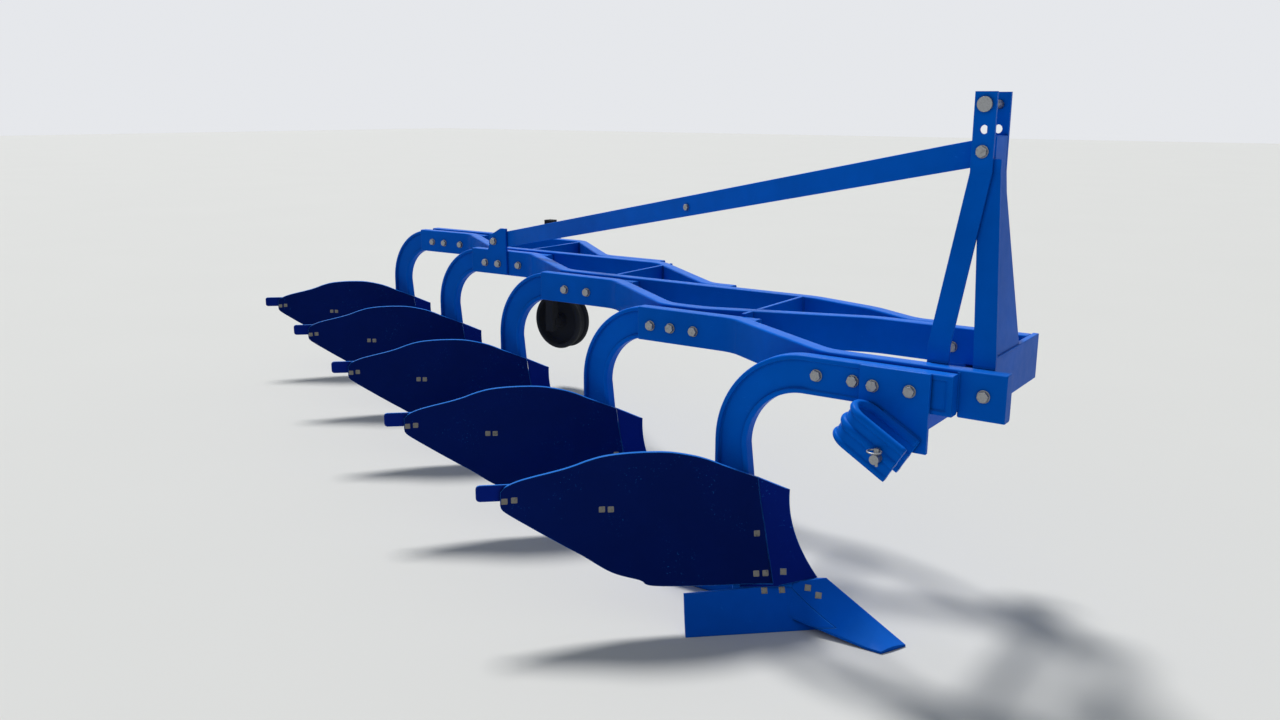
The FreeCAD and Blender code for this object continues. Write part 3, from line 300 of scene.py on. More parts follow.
def enamel(name, base, wear_and_highlight, dust, rough=0.3, wear=1.0, peel=0.00025, dusty=0.01, edge_highlight=0.15, top_highlight=0.3):
    """Sprayed machinery enamel on rolled and forged steel.

    A coat with a faint orange peel about 5 mm across, tone that drifts over half a metre, cloudy
    blotches of 60 mm, scuffs a few millimetres wide that run along the direction of travel, paint
    rubbed paler on edges in chipped spots of about 18 mm, a painted highlight along every edge and
    on tops, painted shade in corners within 12 mm, and a breath of dust on what faces up.
    """
    # widths of the patterns, in metres
    drift_wide, blotch_wide, patch_wide, scuff_wide, chip_wide = 0.45, 0.06, 0.11, 0.005, 0.018
    dust_wide, sheen_wide, peel_wide, edge_wide, corner_deep = 0.09, 0.03, 0.005, 0.003, 0.012
    made, add, coords = material(name)
    normal = add("ShaderNodeNewGeometry", out="Normal")
    up = add("ShaderNodeSeparateXYZ", {0: normal}, "Z")

    # tone
    cloud = add(NOISE, {"Vector": coords, "Scale": 1 / drift_wide, "Detail": 3.0})
    drift = add(RANGE, {"Value": cloud, "From Min": 0.35, "From Max": 0.65})
    spots = add(NOISE, {"Vector": coords, "Scale": 1 / blotch_wide, "Detail": 4.0})
    blotch = add(RANGE, {"Value": spots, "From Min": 0.3, "From Max": 0.75, "To Max": 0.25})

    # wear: scuffs in patches and chipped paint along edges; painted highlight: every edge and every top made
    # paler
    stretch = add("ShaderNodeMapping", {"Vector": coords, "Scale": (0.12, 1.0, 0.7)})
    streaks = add(NOISE, {"Vector": stretch, "Scale": 1 / scuff_wide, "Detail": 3.0, "Roughness": 0.6})
    lines = add(RANGE, {"Value": streaks, "From Min": 0.63, "From Max": 0.72})
    areas = add(NOISE, {"Vector": coords, "Scale": 1 / patch_wide, "Detail": 3.0})
    patches = add(RANGE, {"Value": areas, "From Min": 0.52, "From Max": 0.66, "To Max": 0.3 * wear})
    scuff = add(MATH, {0: lines, 1: patches}, operation="MULTIPLY")
    soft_normal = add("ShaderNodeBevel", {"Radius": edge_wide}, samples=4)
    turn = add("ShaderNodeVectorMath", {0: soft_normal, 1: normal}, "Value", operation="DOT_PRODUCT")
    edge = add(RANGE, {"Value": turn, "From Min": 0.995, "From Max": 0.85})
    grain = add(NOISE, {"Vector": coords, "Scale": 1 / chip_wide, "Detail": 4.0, "Roughness": 0.65})
    # chipped paint along edges, over a painted highlight: every edge is at least this much paler, chipped or
    # not
    chips_and_edge_highlight = add(RANGE, {"Value": grain, "From Min": 0.4, "From Max": 0.62, "To Min": edge_highlight,
                        "To Max": 0.6 * wear})
    edge_wear_and_highlight = add(MATH, {0: edge, 1: chips_and_edge_highlight}, operation="MULTIPLY")
    bare_and_highlight = add(MATH, {0: scuff, 1: edge_wear_and_highlight}, operation="MAXIMUM")
    # painted highlight: faces that look up turn paler, as if lit from above
    top = add(RANGE, {"Value": up, "From Min": 0.7, "From Max": 0.85, "To Max": top_highlight})

    # painted shade: corners within reach darkened toward a deep copy of the base; then dust on what faces up
    corner = add("ShaderNodeAmbientOcclusion", {"Distance": corner_deep}, "AO", samples=4)
    grime_and_shade = add(RANGE, {"Value": corner, "From Min": 0.3, "From Max": 0.92, "To Min": 0.8, "To Max": 0.0})
    facing = add(RANGE, {"Value": up, "From Min": 0.3, "To Max": dusty})
    drifts = add(NOISE, {"Vector": coords, "Scale": 1 / dust_wide, "Detail": 5.0, "Roughness": 0.6})
    lying = add(RANGE, {"Value": drifts, "From Min": 0.45, "From Max": 0.8})
    settled = add(MATH, {0: facing, 1: lying}, operation="MULTIPLY")

    # each layer over the last, by its share; the corner layer is painted shade and the top layer painted
    # highlight
    paint = rgba(base, 0.88)
    for share, layer in ((drift, rgba(base, 1.1)), (blotch, rgba(base, 0.72)), (bare_and_highlight, rgba(wear_and_highlight)),
                         (grime_and_shade, rgba(base, 0.25)), (top, rgba(wear_and_highlight)), (settled, rgba(dust))):
        paint = add(MIX, {"Factor": share, "A": paint, "B": layer}, "Result", data_type="RGBA")

    # gloss: duller where scuffed or dusty
    sheen = add(NOISE, {"Vector": coords, "Scale": 1 / sheen_wide, "Detail": 4.0})
    spread = add(RANGE, {"Value": sheen, "To Min": rough - 0.07, "To Max": rough + 0.12})
    dull = add(MATH, {0: scuff, 1: 0.5, 2: spread}, operation="MULTIPLY_ADD")
    dull = add(MATH, {0: settled, 1: dull}, operation="ADD")
    peeled = add(NOISE, {"Vector": coords, "Scale": 1 / peel_wide})
    bump = add("ShaderNodeBump", {"Height": peeled, "Distance": peel, "Strength": 0.6,
                                  "Normal": soft_normal})
    shader = add("ShaderNodeBsdfPrincipled", {"Base Color": paint, "Roughness": dull, "Normal": bump,
                                              "Specular IOR Level": 0.025,
                                              "Specular Tint": rgba(linear("#A0D3FF"))})
    add("ShaderNodeOutputMaterial", {"Surface": shader})
    return made


def plated(name, base, grime_and_shade, rough=0.38, metal=0.9):
    """Zinc-plated steel: soft grey, with crystals about 4 mm wide and dirt in patches of 12 mm."""
    # sizes of the patterns, in metres
    crystal_wide, smear_wide, pit_wide, pit_deep = 0.004, 0.012, 0.0015, 0.0001
    made, add, coords = material(name)
    crystals = add(NOISE, {"Vector": coords, "Scale": 1 / crystal_wide, "Detail": 3.0})
    cloud = add(RANGE, {"Value": crystals, "From Min": 0.3, "From Max": 0.7})
    smears = add(NOISE, {"Vector": coords, "Scale": 1 / smear_wide, "Detail": 4.0, "Roughness": 0.6})
    dirt = add(RANGE, {"Value": smears, "From Min": 0.55, "From Max": 0.75, "To Max": 0.5})
    tone = rgba(base, 0.8)
    for share, layer in ((cloud, rgba(base, 1.1)), (dirt, rgba(grime_and_shade))):
        tone = add(MIX, {"Factor": share, "A": tone, "B": layer}, "Result", data_type="RGBA")
    spread = add(RANGE, {"Value": cloud, "To Min": rough - 0.08, "To Max": rough + 0.12})
    dull = add(MATH, {0: dirt, 1: 0.5, 2: spread}, operation="MULTIPLY_ADD")
    pits = add(NOISE, {"Vector": coords, "Scale": 1 / pit_wide, "Detail": 3.0})
    bump = add("ShaderNodeBump", {"Height": pits, "Distance": pit_deep, "Strength": 0.5})
    shader = add("ShaderNodeBsdfPrincipled", {"Base Color": tone, "Metallic": metal, "Roughness": dull,
                                              "Normal": bump})
    add("ShaderNodeOutputMaterial", {"Surface": shader})
    return made


def make_finishes(colours):
    """Makes the paints and platings from the colours given."""
    wear_and_highlight, dust, rubbed = colours.scuffed_and_highlight, colours.dust, linear("#3C3D3E")
    # the scuffed blue, and the rubbed grey on black parts, also make the painted highlight on edges and tops
    FINISHES.update(
        frame=enamel("frame_enamel", colours.frame_blue, wear_and_highlight, dust),
        board=enamel("mouldboard_enamel", colours.board_navy, wear_and_highlight, dust, rough=0.2, wear=1.1, peel=0.0002,
                     edge_highlight=1.0, top_highlight=0.8),
        shin=enamel("shin_enamel", colours.shin_navy, wear_and_highlight, dust, rough=0.2, wear=1.2, peel=0.0002,
                    edge_highlight=0.8, top_highlight=0.8),
        share=enamel("share_enamel", colours.share_blue, wear_and_highlight, dust, wear=1.2, edge_highlight=0.4),
        black=enamel("post_black", colours.wheel_black, rubbed, dust, rough=0.4, wear=0.7, top_highlight=0.0),
        wheel=enamel("wheel_black", colours.wheel_black, rubbed, dust, rough=0.5, wear=0.7, peel=0.0004,
                     dusty=0.2, top_highlight=0.0),
        zinc=plated("zinc_plate", colours.zinc, linear("#5A564C")),
        stud=plated("stud_steel", colours.stud, linear("#3F3A33"), rough=0.5, metal=0.6))


def dressed(name, finish, edge, body="plough"):
    """Copy of a node, merged and with flat faces rejoined, its sharp edges broken by a small radius."""
    merge, level, sharp = 0.02 * MM, 0.6, 32
    shape = bmesh.new()
    shape.from_mesh(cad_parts[name].data)
    bmesh.ops.remove_doubles(shape, verts=shape.verts, dist=merge)
    bmesh.ops.dissolve_limit(shape, angle_limit=math.radians(level), verts=shape.verts, edges=shape.edges)
    limit = math.radians(sharp)
    for e in shape.edges:
        e.smooth = len(e.link_faces) == 2 and e.calc_face_angle(0.0) < limit
    mesh = bpy.data.meshes.new(name + "_dressed")
    shape.to_mesh(mesh)
    shape.free()
    finish_piece(bpy.data.objects.new(name + "_dressed", mesh), finish, body, (name,), edge, sharp)


# Lamps: the way their rays go, their width in degrees and their strength
LAMPS = {"key_lamp": ((0.5, -0.35, -1.0), 14, 2.9), "fill_lamp": ((-0.15, 1.0, -0.7), 60, 0.1)}


def floor_sheet(colour):
    """Plain floor just under the plough, its pale paint drifting in tone over a metre and a half."""
    made, add, coords = material("floor_paint")
    cloud_wide = 1.5
    cloud = add(NOISE, {"Vector": coords, "Scale": 1 / cloud_wide, "Detail": 3.0})
    tone = add(MIX, {"Factor": cloud, "A": rgba(colour, 0.97), "B": rgba(colour)}, "Result",
               data_type="RGBA")
    shader = add("ShaderNodeBsdfPrincipled", {"Base Color": tone, "Roughness": 0.9})
    add("ShaderNodeOutputMaterial", {"Surface": shader})
    half, drop = 60.0, -0.0005
    mesh = bpy.data.meshes.new("floor")
    corners = [(-half, -half, drop), (half, -half, drop), (half, half, drop), (-half, half, drop)]
    mesh.from_pydata(corners, [], [(0, 1, 2, 3)])
    mesh.materials.append(made)
    return bpy.data.objects.new("floor", mesh)


def studio_world():
    """Soft light from all round, and a pale backdrop for the rays of the camera, gloss and glass."""
    world = bpy.data.worlds.new("studio")
    world.use_nodes = True
    tree = world.node_tree
    tree.nodes.clear()
    add = functools.partial(node, tree)
    seen = 0.0
    for ray in ("Is Camera Ray", "Is Glossy Ray", "Is Transmission Ray"):
        seen = add(MATH, {0: seen, 1: add("ShaderNodeLightPath", out=ray)}, operation="MAXIMUM")
    light = add("ShaderNodeBackground", {"Color": rgba(linear("#E7F3FF")), "Strength": 0.27})
    backdrop = add("ShaderNodeBackground", {"Color": rgba(linear("#F7F9FD")), "Strength": 0.85})
    add("ShaderNodeOutputWorld", {"Surface": add("ShaderNodeMixShader", {0: seen, 1: light, 2: backdrop})})
    return world


def sun_lamp(name, ray, spread, power):
    """Lamp whose parallel rays go the way given."""
    lamp = bpy.data.lights.new(name, "SUN")
    lamp.angle, lamp.energy = math.radians(spread), power
    thing = bpy.data.objects.new(name, lamp)
    flat = math.hypot(ray[0], ray[1])
    thing.rotation_euler = (math.atan2(flat, -ray[2]), 0, math.atan2(ray[1], ray[0]) - math.pi / 2)
    return thing


def photo_camera():
    """Camera at the photograph's place, turn and lens."""
    lens = bpy.data.cameras.new("camera")
    lens.sensor_width, lens.lens, lens.clip_end = 36, 30.94, 200
    spot = placed((2487.9, -2981.8, 1599.1))
    # the picture's right, up and backward directions
    right, up, back = (0.81988, 0.57252, 0.00384), (-0.13088, 0.18089, 0.97476), (0.55738, -0.79968, 0.22324)
    camera = bpy.data.objects.new("camera", lens)
    camera.matrix_world = Matrix([(right[i], up[i], back[i], spot[i]) for i in range(3)] + [(0, 0, 0, 1)])
    return camera


class PLOUGH_OT_stage(bpy.types.Operator):
    """Paints, floor, lamps, world and camera"""
    bl_idname = "plough.stage"
    bl_label = "Stage"

    def execute(self, context):
        scene = context.scene
        make_finishes(scene.plough_colours)
        floor, camera = floor_sheet(scene.plough_colours.floor), photo_camera()
        lamps = [sun_lamp(name, *facts) for name, facts in LAMPS.items()]
        for thing in [floor, camera] + lamps:
            scene.collection.objects.link(thing)
        scene.camera, scene.world = camera, studio_world()
        scene.view_settings.view_transform = "Standard"
        return {"FINISHED"}


def bar_lines():
    """Near face of each bar from its tail forward: along, across, and the slant of its section there."""
    tail, crank_from, crank_to, kink = 1037, 1440, 1075, 0.33
    lines = {}
    for n in BODIES[:-1]:
        seat = furrow_y(n + 1) - LEG_THICK - BAR_THICK
        behind = step_x(n + 1)
        lines[n] = [(behind + tail, seat, 0), (behind + crank_from, seat, kink),
                    (step_x(n) + crank_to, furrow_y(n), kink)]
    lines[5] = [(step_x(5) + tail, furrow_y(5), 0)]
    lines[1] += [(FRONT_END, 0, 0)]
    # bar 2 runs over to the left rail
    lines[2] += [(400, furrow_y(2), -0.16), (1000, LEFT_RAIL, -0.16), (1520, LEFT_RAIL, 0)]
    # bar 3 swings out and then in beside the left rail, bars 4 and 5 in beside the bar before
    swing, beside = furrow_y(3) - 90, LEFT_RAIL + BAR_THICK
    lines[3] += [(step_x(3) + x, y, slant) for x, y, slant in
                 ((2320, furrow_y(3), 0.07), (2600, swing, 0.34), (2800, beside, 0.27), (2910, beside, 0))]
    for n, low, high, end in ((4, 2140, 2650, 2780), (5, 2155, 2610, 2970)):
        beside = furrow_y(n - 1) + BAR_THICK
        lines[n] += [(step_x(n) + low, furrow_y(n), kink), (step_x(n) + high, beside, kink),
                     (step_x(n) + end, beside, 0)]
    return lines


def hitch_block():
    """Thicker block on the front end of bar 1."""
    back, front, low, proud = 1505, FRONT_END + 0.3, 745, 0.4
    wide, deep, round_off = 50.8, 140.4, 10 * MM
    return flat_bar([(back, -proud, low, 0), (front, -proud, low, 0)], wide, deep, round_off)


class PLOUGH_OT_frame_bars(bpy.types.Operator):
    """Rolled flats on edge, cranked from body to body"""
    bl_idname = "plough.frame_bars"
    bl_label = "Frame bars"

    def execute(self, context):
        sizes = context.scene.plough_sizes
        for n, line in bar_lines().items():
            stations = [(x, y, BAR_LOW, slant) for x, y, slant in line]
            shapes = [flat_bar(stations, BAR_THICK, BAR_TOP - BAR_LOW, sizes.bar_round, sizes.bend_reach)]
            if n == 1:
                shapes.append(hitch_block())
            mesh_piece("bar_%d_rolled" % n, joined(shapes), "frame", replaces=("frame_bar_%d" % n,),
                       bevel=sizes.plate_round)
        return {"FINISHED"}


# Leg: end of its bend, front end, width of its rim, length over which the rim closes the web in front
LEG_BEND, LEG_FRONT, LEG_RIM, LEG_CLOSING = 1045, 1505, 14, 9
# Depth of its web by the bolts and round the bend
WEB_AT_BOLTS, WEB_AT_BEND = 5, 12


def leg_edges():
    """Outer and inner edge of a leg as (along, height), from its foot up, round the bend and forward."""
    back, wide, low, bend_z, top, deep, sweep = 738, 114, 60, 560, 875, 120, 60
    quarter = np.linspace(0, np.pi / 2, 30)
    upright = np.linspace(low, bend_z, 12)[:-1]
    # the level part has close rings where its front rim closes the web
    closed = LEG_FRONT - LEG_RIM
    closing = closed - LEG_CLOSING
    level = np.concatenate([np.linspace(LEG_BEND, closing - 2, 36)[1:], np.linspace(closing, closed, 7),
                            [LEG_FRONT]])
    share = (bend_z - upright) / (bend_z - low)
    edges = []
    for x0, z1, forward in ((back, top, 0), (back + wide, top - deep, sweep)):
        x = np.concatenate([x0 + forward * share, LEG_BEND - (LEG_BEND - x0) * np.cos(quarter), level])
        z = np.concatenate([upright, bend_z + (z1 - bend_z) * np.sin(quarter), np.full_like(level, z1)])
        edges.append(np.stack([x, z], 1))
    return edges


def leg_shape(radius):
    """Forged leg: an I section carried between its two edges.

    From its outer edge to its inner edge, each side of the section is a quarter circle, a flat rim,
    a smooth step down to the web, and the same back up.
    """
    outer, inner = leg_edges()
    step, shoulder, past_bend = 3, 50, 35
    fade = np.clip((LEG_BEND + past_bend - outer[:, :1]) / shoulder, 0, 1)
    close = np.clip((LEG_FRONT - LEG_RIM - outer[:, :1]) / LEG_CLOSING, 0, 1)
    sink = (WEB_AT_BOLTS + (WEB_AT_BEND - WEB_AT_BOLTS) * fade * fade * (3 - 2 * fade)) * close
    turn = np.linspace(0, np.pi / 2, 5)
    slope = np.linspace(0, 1, 7)
    ease = slope * slope * (3 - 2 * slope)
    wide = np.linalg.norm(inner - outer, axis=1)[:, None]
    level = np.zeros_like(wide)
    across = np.concatenate([level + radius * (1 - np.cos(turn)), level + LEG_RIM + step * slope,
                             wide - LEG_RIM - step * (1 - slope), wide - radius * (1 - np.sin(turn))], 1)
    depth = np.concatenate([level + radius * (1 - np.sin(turn)), sink * ease, sink * ease[::-1],
                            level + radius * (1 - np.cos(turn))], 1)
    across = np.concatenate([across, across[:, ::-1]], 1)
    depth = np.concatenate([depth, LEG_THICK - depth[:, ::-1]], 1)
    along = (inner - outer) / wide
    return skin(np.stack([outer[:, :1] + along[:, :1] * across, depth - LEG_THICK,
                          outer[:, 1:] + along[:, 1:] * across], 2))


class PLOUGH_OT_legs(bpy.types.Operator):
    """Forged legs with a sunken web inside a raised rim"""
    bl_idname = "plough.legs"
    bl_label = "Legs"

    def execute(self, context):
        sizes = context.scene.plough_sizes
        shape = leg_shape(sizes.leg_round / MM)
        for n in BODIES:
            mesh_piece("leg_%d_forged" % n, in_frame(on_body(shape, n)), "frame", replaces=("leg_%d" % n,),
                       bevel=sizes.plate_round, limit=70)
        return {"FINISHED"}


# Frames of the blades: turn about Z at the landside edge, then reach, height and radius of a lying cylinder
BLADES = {"board": (222.8, 512.5, 416.3, 653.5), "shin": (213.0, 460.7, 400.0, 565.0)}
EDGE_X = 1161
BOARD_LONG, BOARD_HIGH, BLADE_THICK = 1036, 560, 9
# Edges of the board as shares of its length and height; the seam is where the shin begins
TOP_LINE = ((0.999, 0.795), (0.983, 0.827), (0.945, 0.857), (0.901, 0.879), (0.856, 0.898), (0.812, 0.918),
            (0.777, 0.938), (0.739, 0.964), (0.69, 0.988), (0.63, 1.0), (0.56, 1.003), (0.49, 0.996),
            (0.42, 0.97), (0.37, 0.94), (0.321, 0.9), (0.27, 0.862), (0.216, 0.822))
SEAM_LINE = ((0.178, 0.227), (0.183, 0.346), (0.193, 0.529), (0.205, 0.67), (0.216, 0.822))
LOW_LINE = ((1.0, 0.721), (0.987, 0.68), (0.9, 0.575), (0.816, 0.482), (0.76, 0.423), (0.673, 0.327),
            (0.587, 0.279), (0.523, 0.243), (0.178, 0.227))


def on_cylinder(name, along, height, depth):
    """Blade's own (along, height) to the layout: a face on a cylinder, and depth behind that face."""
    turn, reach, rise, radius = BLADES[name]
    lean = np.arcsin(np.clip((rise - height) / radius, -1, 1))
    y = reach - (radius + depth) * np.cos(lean)
    z = rise - (radius + depth) * np.sin(lean)
    c, s = math.cos(math.radians(turn)), math.sin(math.radians(turn))
    return np.stack([EDGE_X + along * c - y * s, along * s + y * c, z], -1)


def evened(points, count=0, step=1.0):
    """Points at an even distance along a line of straight runs, with the length walked to each.

    They are as many as the count, or without one as the step gives.
    """
    p = np.asarray(points, float)
    run = np.concatenate([[0], np.cumsum(np.linalg.norm(np.diff(p, axis=0), axis=1))])
    even = np.linspace(0, run[-1], count or max(2, int(run[-1] / step) + 1))
    return np.stack([np.interp(even, run, column) for column in p.T], 1), even


def drawn(p, count):
    """Smooth line through points, at an even distance along it: a Catmull-Rom curve, evened."""
    if len(p) > 2:
        q = np.concatenate([2 * p[:1] - p[1:2], p, 2 * p[-1:] - p[-2:-1]])
        t = np.linspace(0, 1, 12, endpoint=False)[:, None]
        p = np.concatenate([0.5 * (2 * b + (c - a) * t + (2 * a - 5 * b + 4 * c - d) * t ** 2 +
                                   (3 * b - a - 3 * c + d) * t ** 3)
                            for a, b, c, d in zip(q[:-3], q[1:-2], q[2:-1], q[3:])] + [p[-1:]])
    return evened(p, count)[0]


def patch(low, high, left, right):
    """Coons patch: the low and high lines' blend, plus the left and right lines', less the corners'."""
    v, u = (np.linspace(0, 1, len(line))[:, None] for line in (left, low))
    v, u = v[:, None], u[None]
    edges = (1 - v) * low[None] + v * high[None] + (1 - u) * left[:, None] + u * right[:, None]
    corners = (1 - v) * ((1 - u) * low[0] + u * low[-1]) + v * ((1 - u) * high[0] + u * high[-1])
    return edges - corners


def sheet_shell(front, behind):
    """Two grids of points, the face and the back, joined round their border into a closed shell."""
    rows, cols = front.shape[:2]
    i, j = np.meshgrid(np.arange(rows - 1), np.arange(cols - 1), indexing="ij")
    quads = np.stack([i * cols + j, i * cols + j + 1, (i + 1) * cols + j + 1, (i + 1) * cols + j], -1)
    quads = quads.reshape(-1, 4)
    shift = rows * cols
    border = np.concatenate([np.arange(cols), np.arange(1, rows) * cols + cols - 1,
                             (rows - 1) * cols + np.arange(cols - 2, -1, -1),
                             np.arange(rows - 2, 0, -1) * cols])
    after = np.roll(border, -1)
    walls = np.stack([border, after, after + shift, border + shift], 1)
    faces = np.concatenate([quads, quads[:, ::-1] + shift, walls[:, ::-1]])
    verts = np.concatenate([front.reshape(-1, 3), behind.reshape(-1, 3)])
    return verts, outward(verts, [tuple(f) for f in faces.tolist()])


def blade_sheet(along, height, near=0.0, far=float(BLADE_THICK)):
    """Sheet on the mouldboard's cylinder between two depths behind its face."""
    return sheet_shell(on_cylinder("board", along, height, near), on_cylinder("board", along, height, far))


class PLOUGH_OT_mouldboards(bpy.types.Operator):
    """Pressed mouldboards, each a patch of a lying cylinder"""
    bl_idname = "plough.mouldboards"
    bl_label = "Mouldboards"

    def execute(self, context):
        sizes = context.scene.plough_sizes
        size = np.array([BOARD_LONG, BOARD_HIGH])
        across, upward = 90, 48
        low, high = (drawn(np.array(line) * size, across) for line in (LOW_LINE, TOP_LINE))
        wing_line = (LOW_LINE[0], TOP_LINE[0])
        wing, seam = (drawn(np.array(line) * size, upward) for line in (wing_line, SEAM_LINE))
        grid = patch(low, high, wing, seam)
        shape = blade_sheet(grid[..., 0], grid[..., 1])
        for n in BODIES:
            mesh_piece("mouldboard_%d_pressed" % n, in_frame(on_body(shape, n)), "board",
                       replaces=("mouldboard_%d" % n,), bevel=sizes.blade_round)
        return {"FINISHED"}


class PLOUGH_OT_tails(bpy.types.Operator):
    """Tail pieces: short flats behind the mouldboards, on the same cylinder, with rounded ends"""
    bl_idname = "plough.tails"
    bl_label = "Tail pieces"

    def execute(self, context):
        start, end, low, high, thick, corner = 960, 1110, 414, 53, 8, 13
        rise, share = np.meshgrid(np.linspace(0, high, 25), np.linspace(0, 1, 20))
        # the end draws back along a quarter circle at each corner
        past = np.clip(corner - np.minimum(rise, high - rise), 0, corner)
        tip = end - corner + np.sqrt(corner ** 2 - past ** 2)
        along = start + (tip - start) * share
        shape = blade_sheet(along, low + rise, float(BLADE_THICK), float(BLADE_THICK + thick))
        shapes = joined([on_body(shape, n) for n in BODIES])
        mesh_piece("tail_pieces_cut", in_frame(shapes), "shin", replaces=("tail_pieces",),
                   bevel=context.scene.plough_sizes.plate_round)
        return {"FINISHED"}


# Stay: the bolts at its front and rear end as (along, height), and its thickness and depth
STAY_ENDS, STAY_THICK, STAY_DEEP = ((1450, 1480), (-1345, 931)), 12, 80


class PLOUGH_OT_stay(bpy.types.Operator):
    """Stay from the mast back to the third bar, a flat on edge with two gentle bends"""
    bl_idname = "plough.stay"
    bl_label = "Stay"

    def execute(self, context):
        sizes = context.scene.plough_sizes
        slant, bend_reach = 0.17, 60 * MM
        (front_x, front_z), (rear_x, rear_z) = STAY_ENDS
        slope = (front_z - rear_z) / (front_x - rear_x)
        # near face at the front end, the two bends and the rear end
        places = ((1469, 294, 0), (1340, 294, slant), (-1235, 1217, slant), (-1390, 1217, 0))
        line = [(x, y, front_z + slope * (x - front_x) - STAY_DEEP / 2, share) for x, y, share in places]
        shape = flat_bar(line, STAY_THICK, STAY_DEEP, sizes.plate_round, bend_reach)
        mesh_piece("stay_flat", shape, "frame", replaces=("stay_bar",), bevel=sizes.plate_round / 3)
        return {"FINISHED"}


def tube(path, radius, up, sides):
    """Round bar along a path: at each point a circle square to the path, of that point's radius."""
    ahead = np.gradient(path, axis=0)
    ahead /= np.linalg.norm(ahead, axis=1)[:, None]
    side = np.cross(ahead, up)
    side /= np.linalg.norm(side, axis=1)[:, None]
    above = np.cross(side, ahead)
    turn = np.linspace(0, 2 * np.pi, sides, endpoint=False)[None, :, None]
    radius = np.broadcast_to(radius, len(path))[:, None, None]
    return skin(path[:, None] + radius * (np.cos(turn) * side[:, None] + np.sin(turn) * above[:, None]))


def weld(start, end, radius):
    """Weld bead: a thin bar whose radius swells once every pitch, as each drop of metal set."""
    step, pitch, ripple = 1.25, 5.0, 0.14
    path, walked = evened((start, end), step=step)
    up = (1, 0, 0) if abs(end[2] - start[2]) > abs(end[0] - start[0]) else (0, 0, 1)
    swell = 1 - ripple + ripple * np.abs(np.sin(np.pi * walked / pitch))
    return tube(path, radius * swell, up, 10)


# Cross ties: the two faces along, and for each face its ends across
TIES = ((570, 586, 509, 514, 860, 860), (-355, -339, 910, 910, 1273, 1260),
        (-1228, -1212, 1367, 1367, 1759, 1745))


def weld_lines():
    """Start and end of each bead."""
    inset = 6
    low, high = BAR_LOW + inset, BAR_TOP - inset
    lines = []
    for x0, x1, near0, near1, far0, far1 in TIES:
        for x, near, far in ((x0, near0, far0), (x1, near1, far1)):
            lines += [((x, near + 1, low), (x, near + 1, high)), ((x, far - 1, low), (x, far - 1, high))]
    # upright beads on the cross plate, then level ones at the feet of the mast's pieces
    lines += [((x, y, low), (x, y, high)) for x, y in ((1504, 0), (1520, 600), (1520, 650))]
    lines += [((x, 158, BAR_TOP), (x, 442, BAR_TOP)) for x in (1541, 1520)]
    feet, run = ((1526, 62), (1526, 50), (1391, 50), (1391, 600)), 62
    lines += [((x, y, BAR_TOP + 1), (x + run, y, BAR_TOP + 1)) for x, y in feet]
    # the post's clamp, and the clevises on their plates
    lines += [((x, 1824, 765), (x, 1824, BAR_TOP)) for x in (-1545, -1471)]
    lines += [((1312, y, 749), (1428, y, 680)) for y in (-66, 666)]
    return lines


class PLOUGH_OT_welds(bpy.types.Operator):
    """Weld beads where plates and ties meet the bars"""
    bl_idname = "plough.welds"
    bl_label = "Welds"

    def execute(self, context):
        full = context.scene.plough_sizes.weld_round / MM
        thin = 0.8 * full
        shapes = [weld(start, end, thin if start[2] > BAR_TOP else full) for start, end in weld_lines()]
        mesh_piece("weld_beads", in_frame(joined(shapes)), "frame")
        return {"FINISHED"}


# Clevises: their sides, the pivot of their slope along and up, the slope in degrees, arm and half width
CLEVIS_SIDES, CLEVIS_X, CLEVIS_Z, CLEVIS_SLOPE = (("right", -125), ("left", 725)), 1430, 680, 31
CLEVIS_ARM, CLEVIS_HALF = 150, 49
# Round bars along a clevis: height on it and radius
CLEVIS_BARS = (("top", -11, 12.5), ("second", -60, 14.5), ("foot", -111, 11.5))


class PLOUGH_OT_clevises(bpy.types.Operator):
    """Link clevises: a strap bent to a U, with round bars along its edges and one below the top"""
    bl_idname = "plough.clevises"
    bl_label = "Link clevises"

    def execute(self, context):
        turn = np.linspace(np.pi / 2, 3 * np.pi / 2, 33)
        bend = np.stack([-CLEVIS_ARM + CLEVIS_HALF * np.cos(turn), CLEVIS_HALF * np.sin(turn)], 1)
        u_line = np.concatenate([[(0, CLEVIS_HALF)], bend, [(0, -CLEVIS_HALF)]])
        slope = math.radians(CLEVIS_SLOPE)
        c, s = math.cos(slope), math.sin(slope)
        for side, y in CLEVIS_SIDES:
            dressed("hitch_clevis_" + side, "frame", 0.8 * MM)
            for name, height, radius in CLEVIS_BARS:
                path, _ = evened(np.column_stack([u_line, np.full(len(u_line), height)]), step=6)
                # each end is turned down a little
                thickness = np.full(len(path), float(radius))
                thickness[[0, -1]] -= 2.5
                x, z = path[:, 0] * c + path[:, 2] * s, -path[:, 0] * s + path[:, 2] * c
                line = np.column_stack([x + CLEVIS_X, path[:, 1] + y, z + CLEVIS_Z])
                bar = tube(line, thickness, (s, 0, c), 24)
                mesh_piece("clevis_%s_%s_bar" % (side, name), in_frame(bar), "frame")
        return {"FINISHED"}


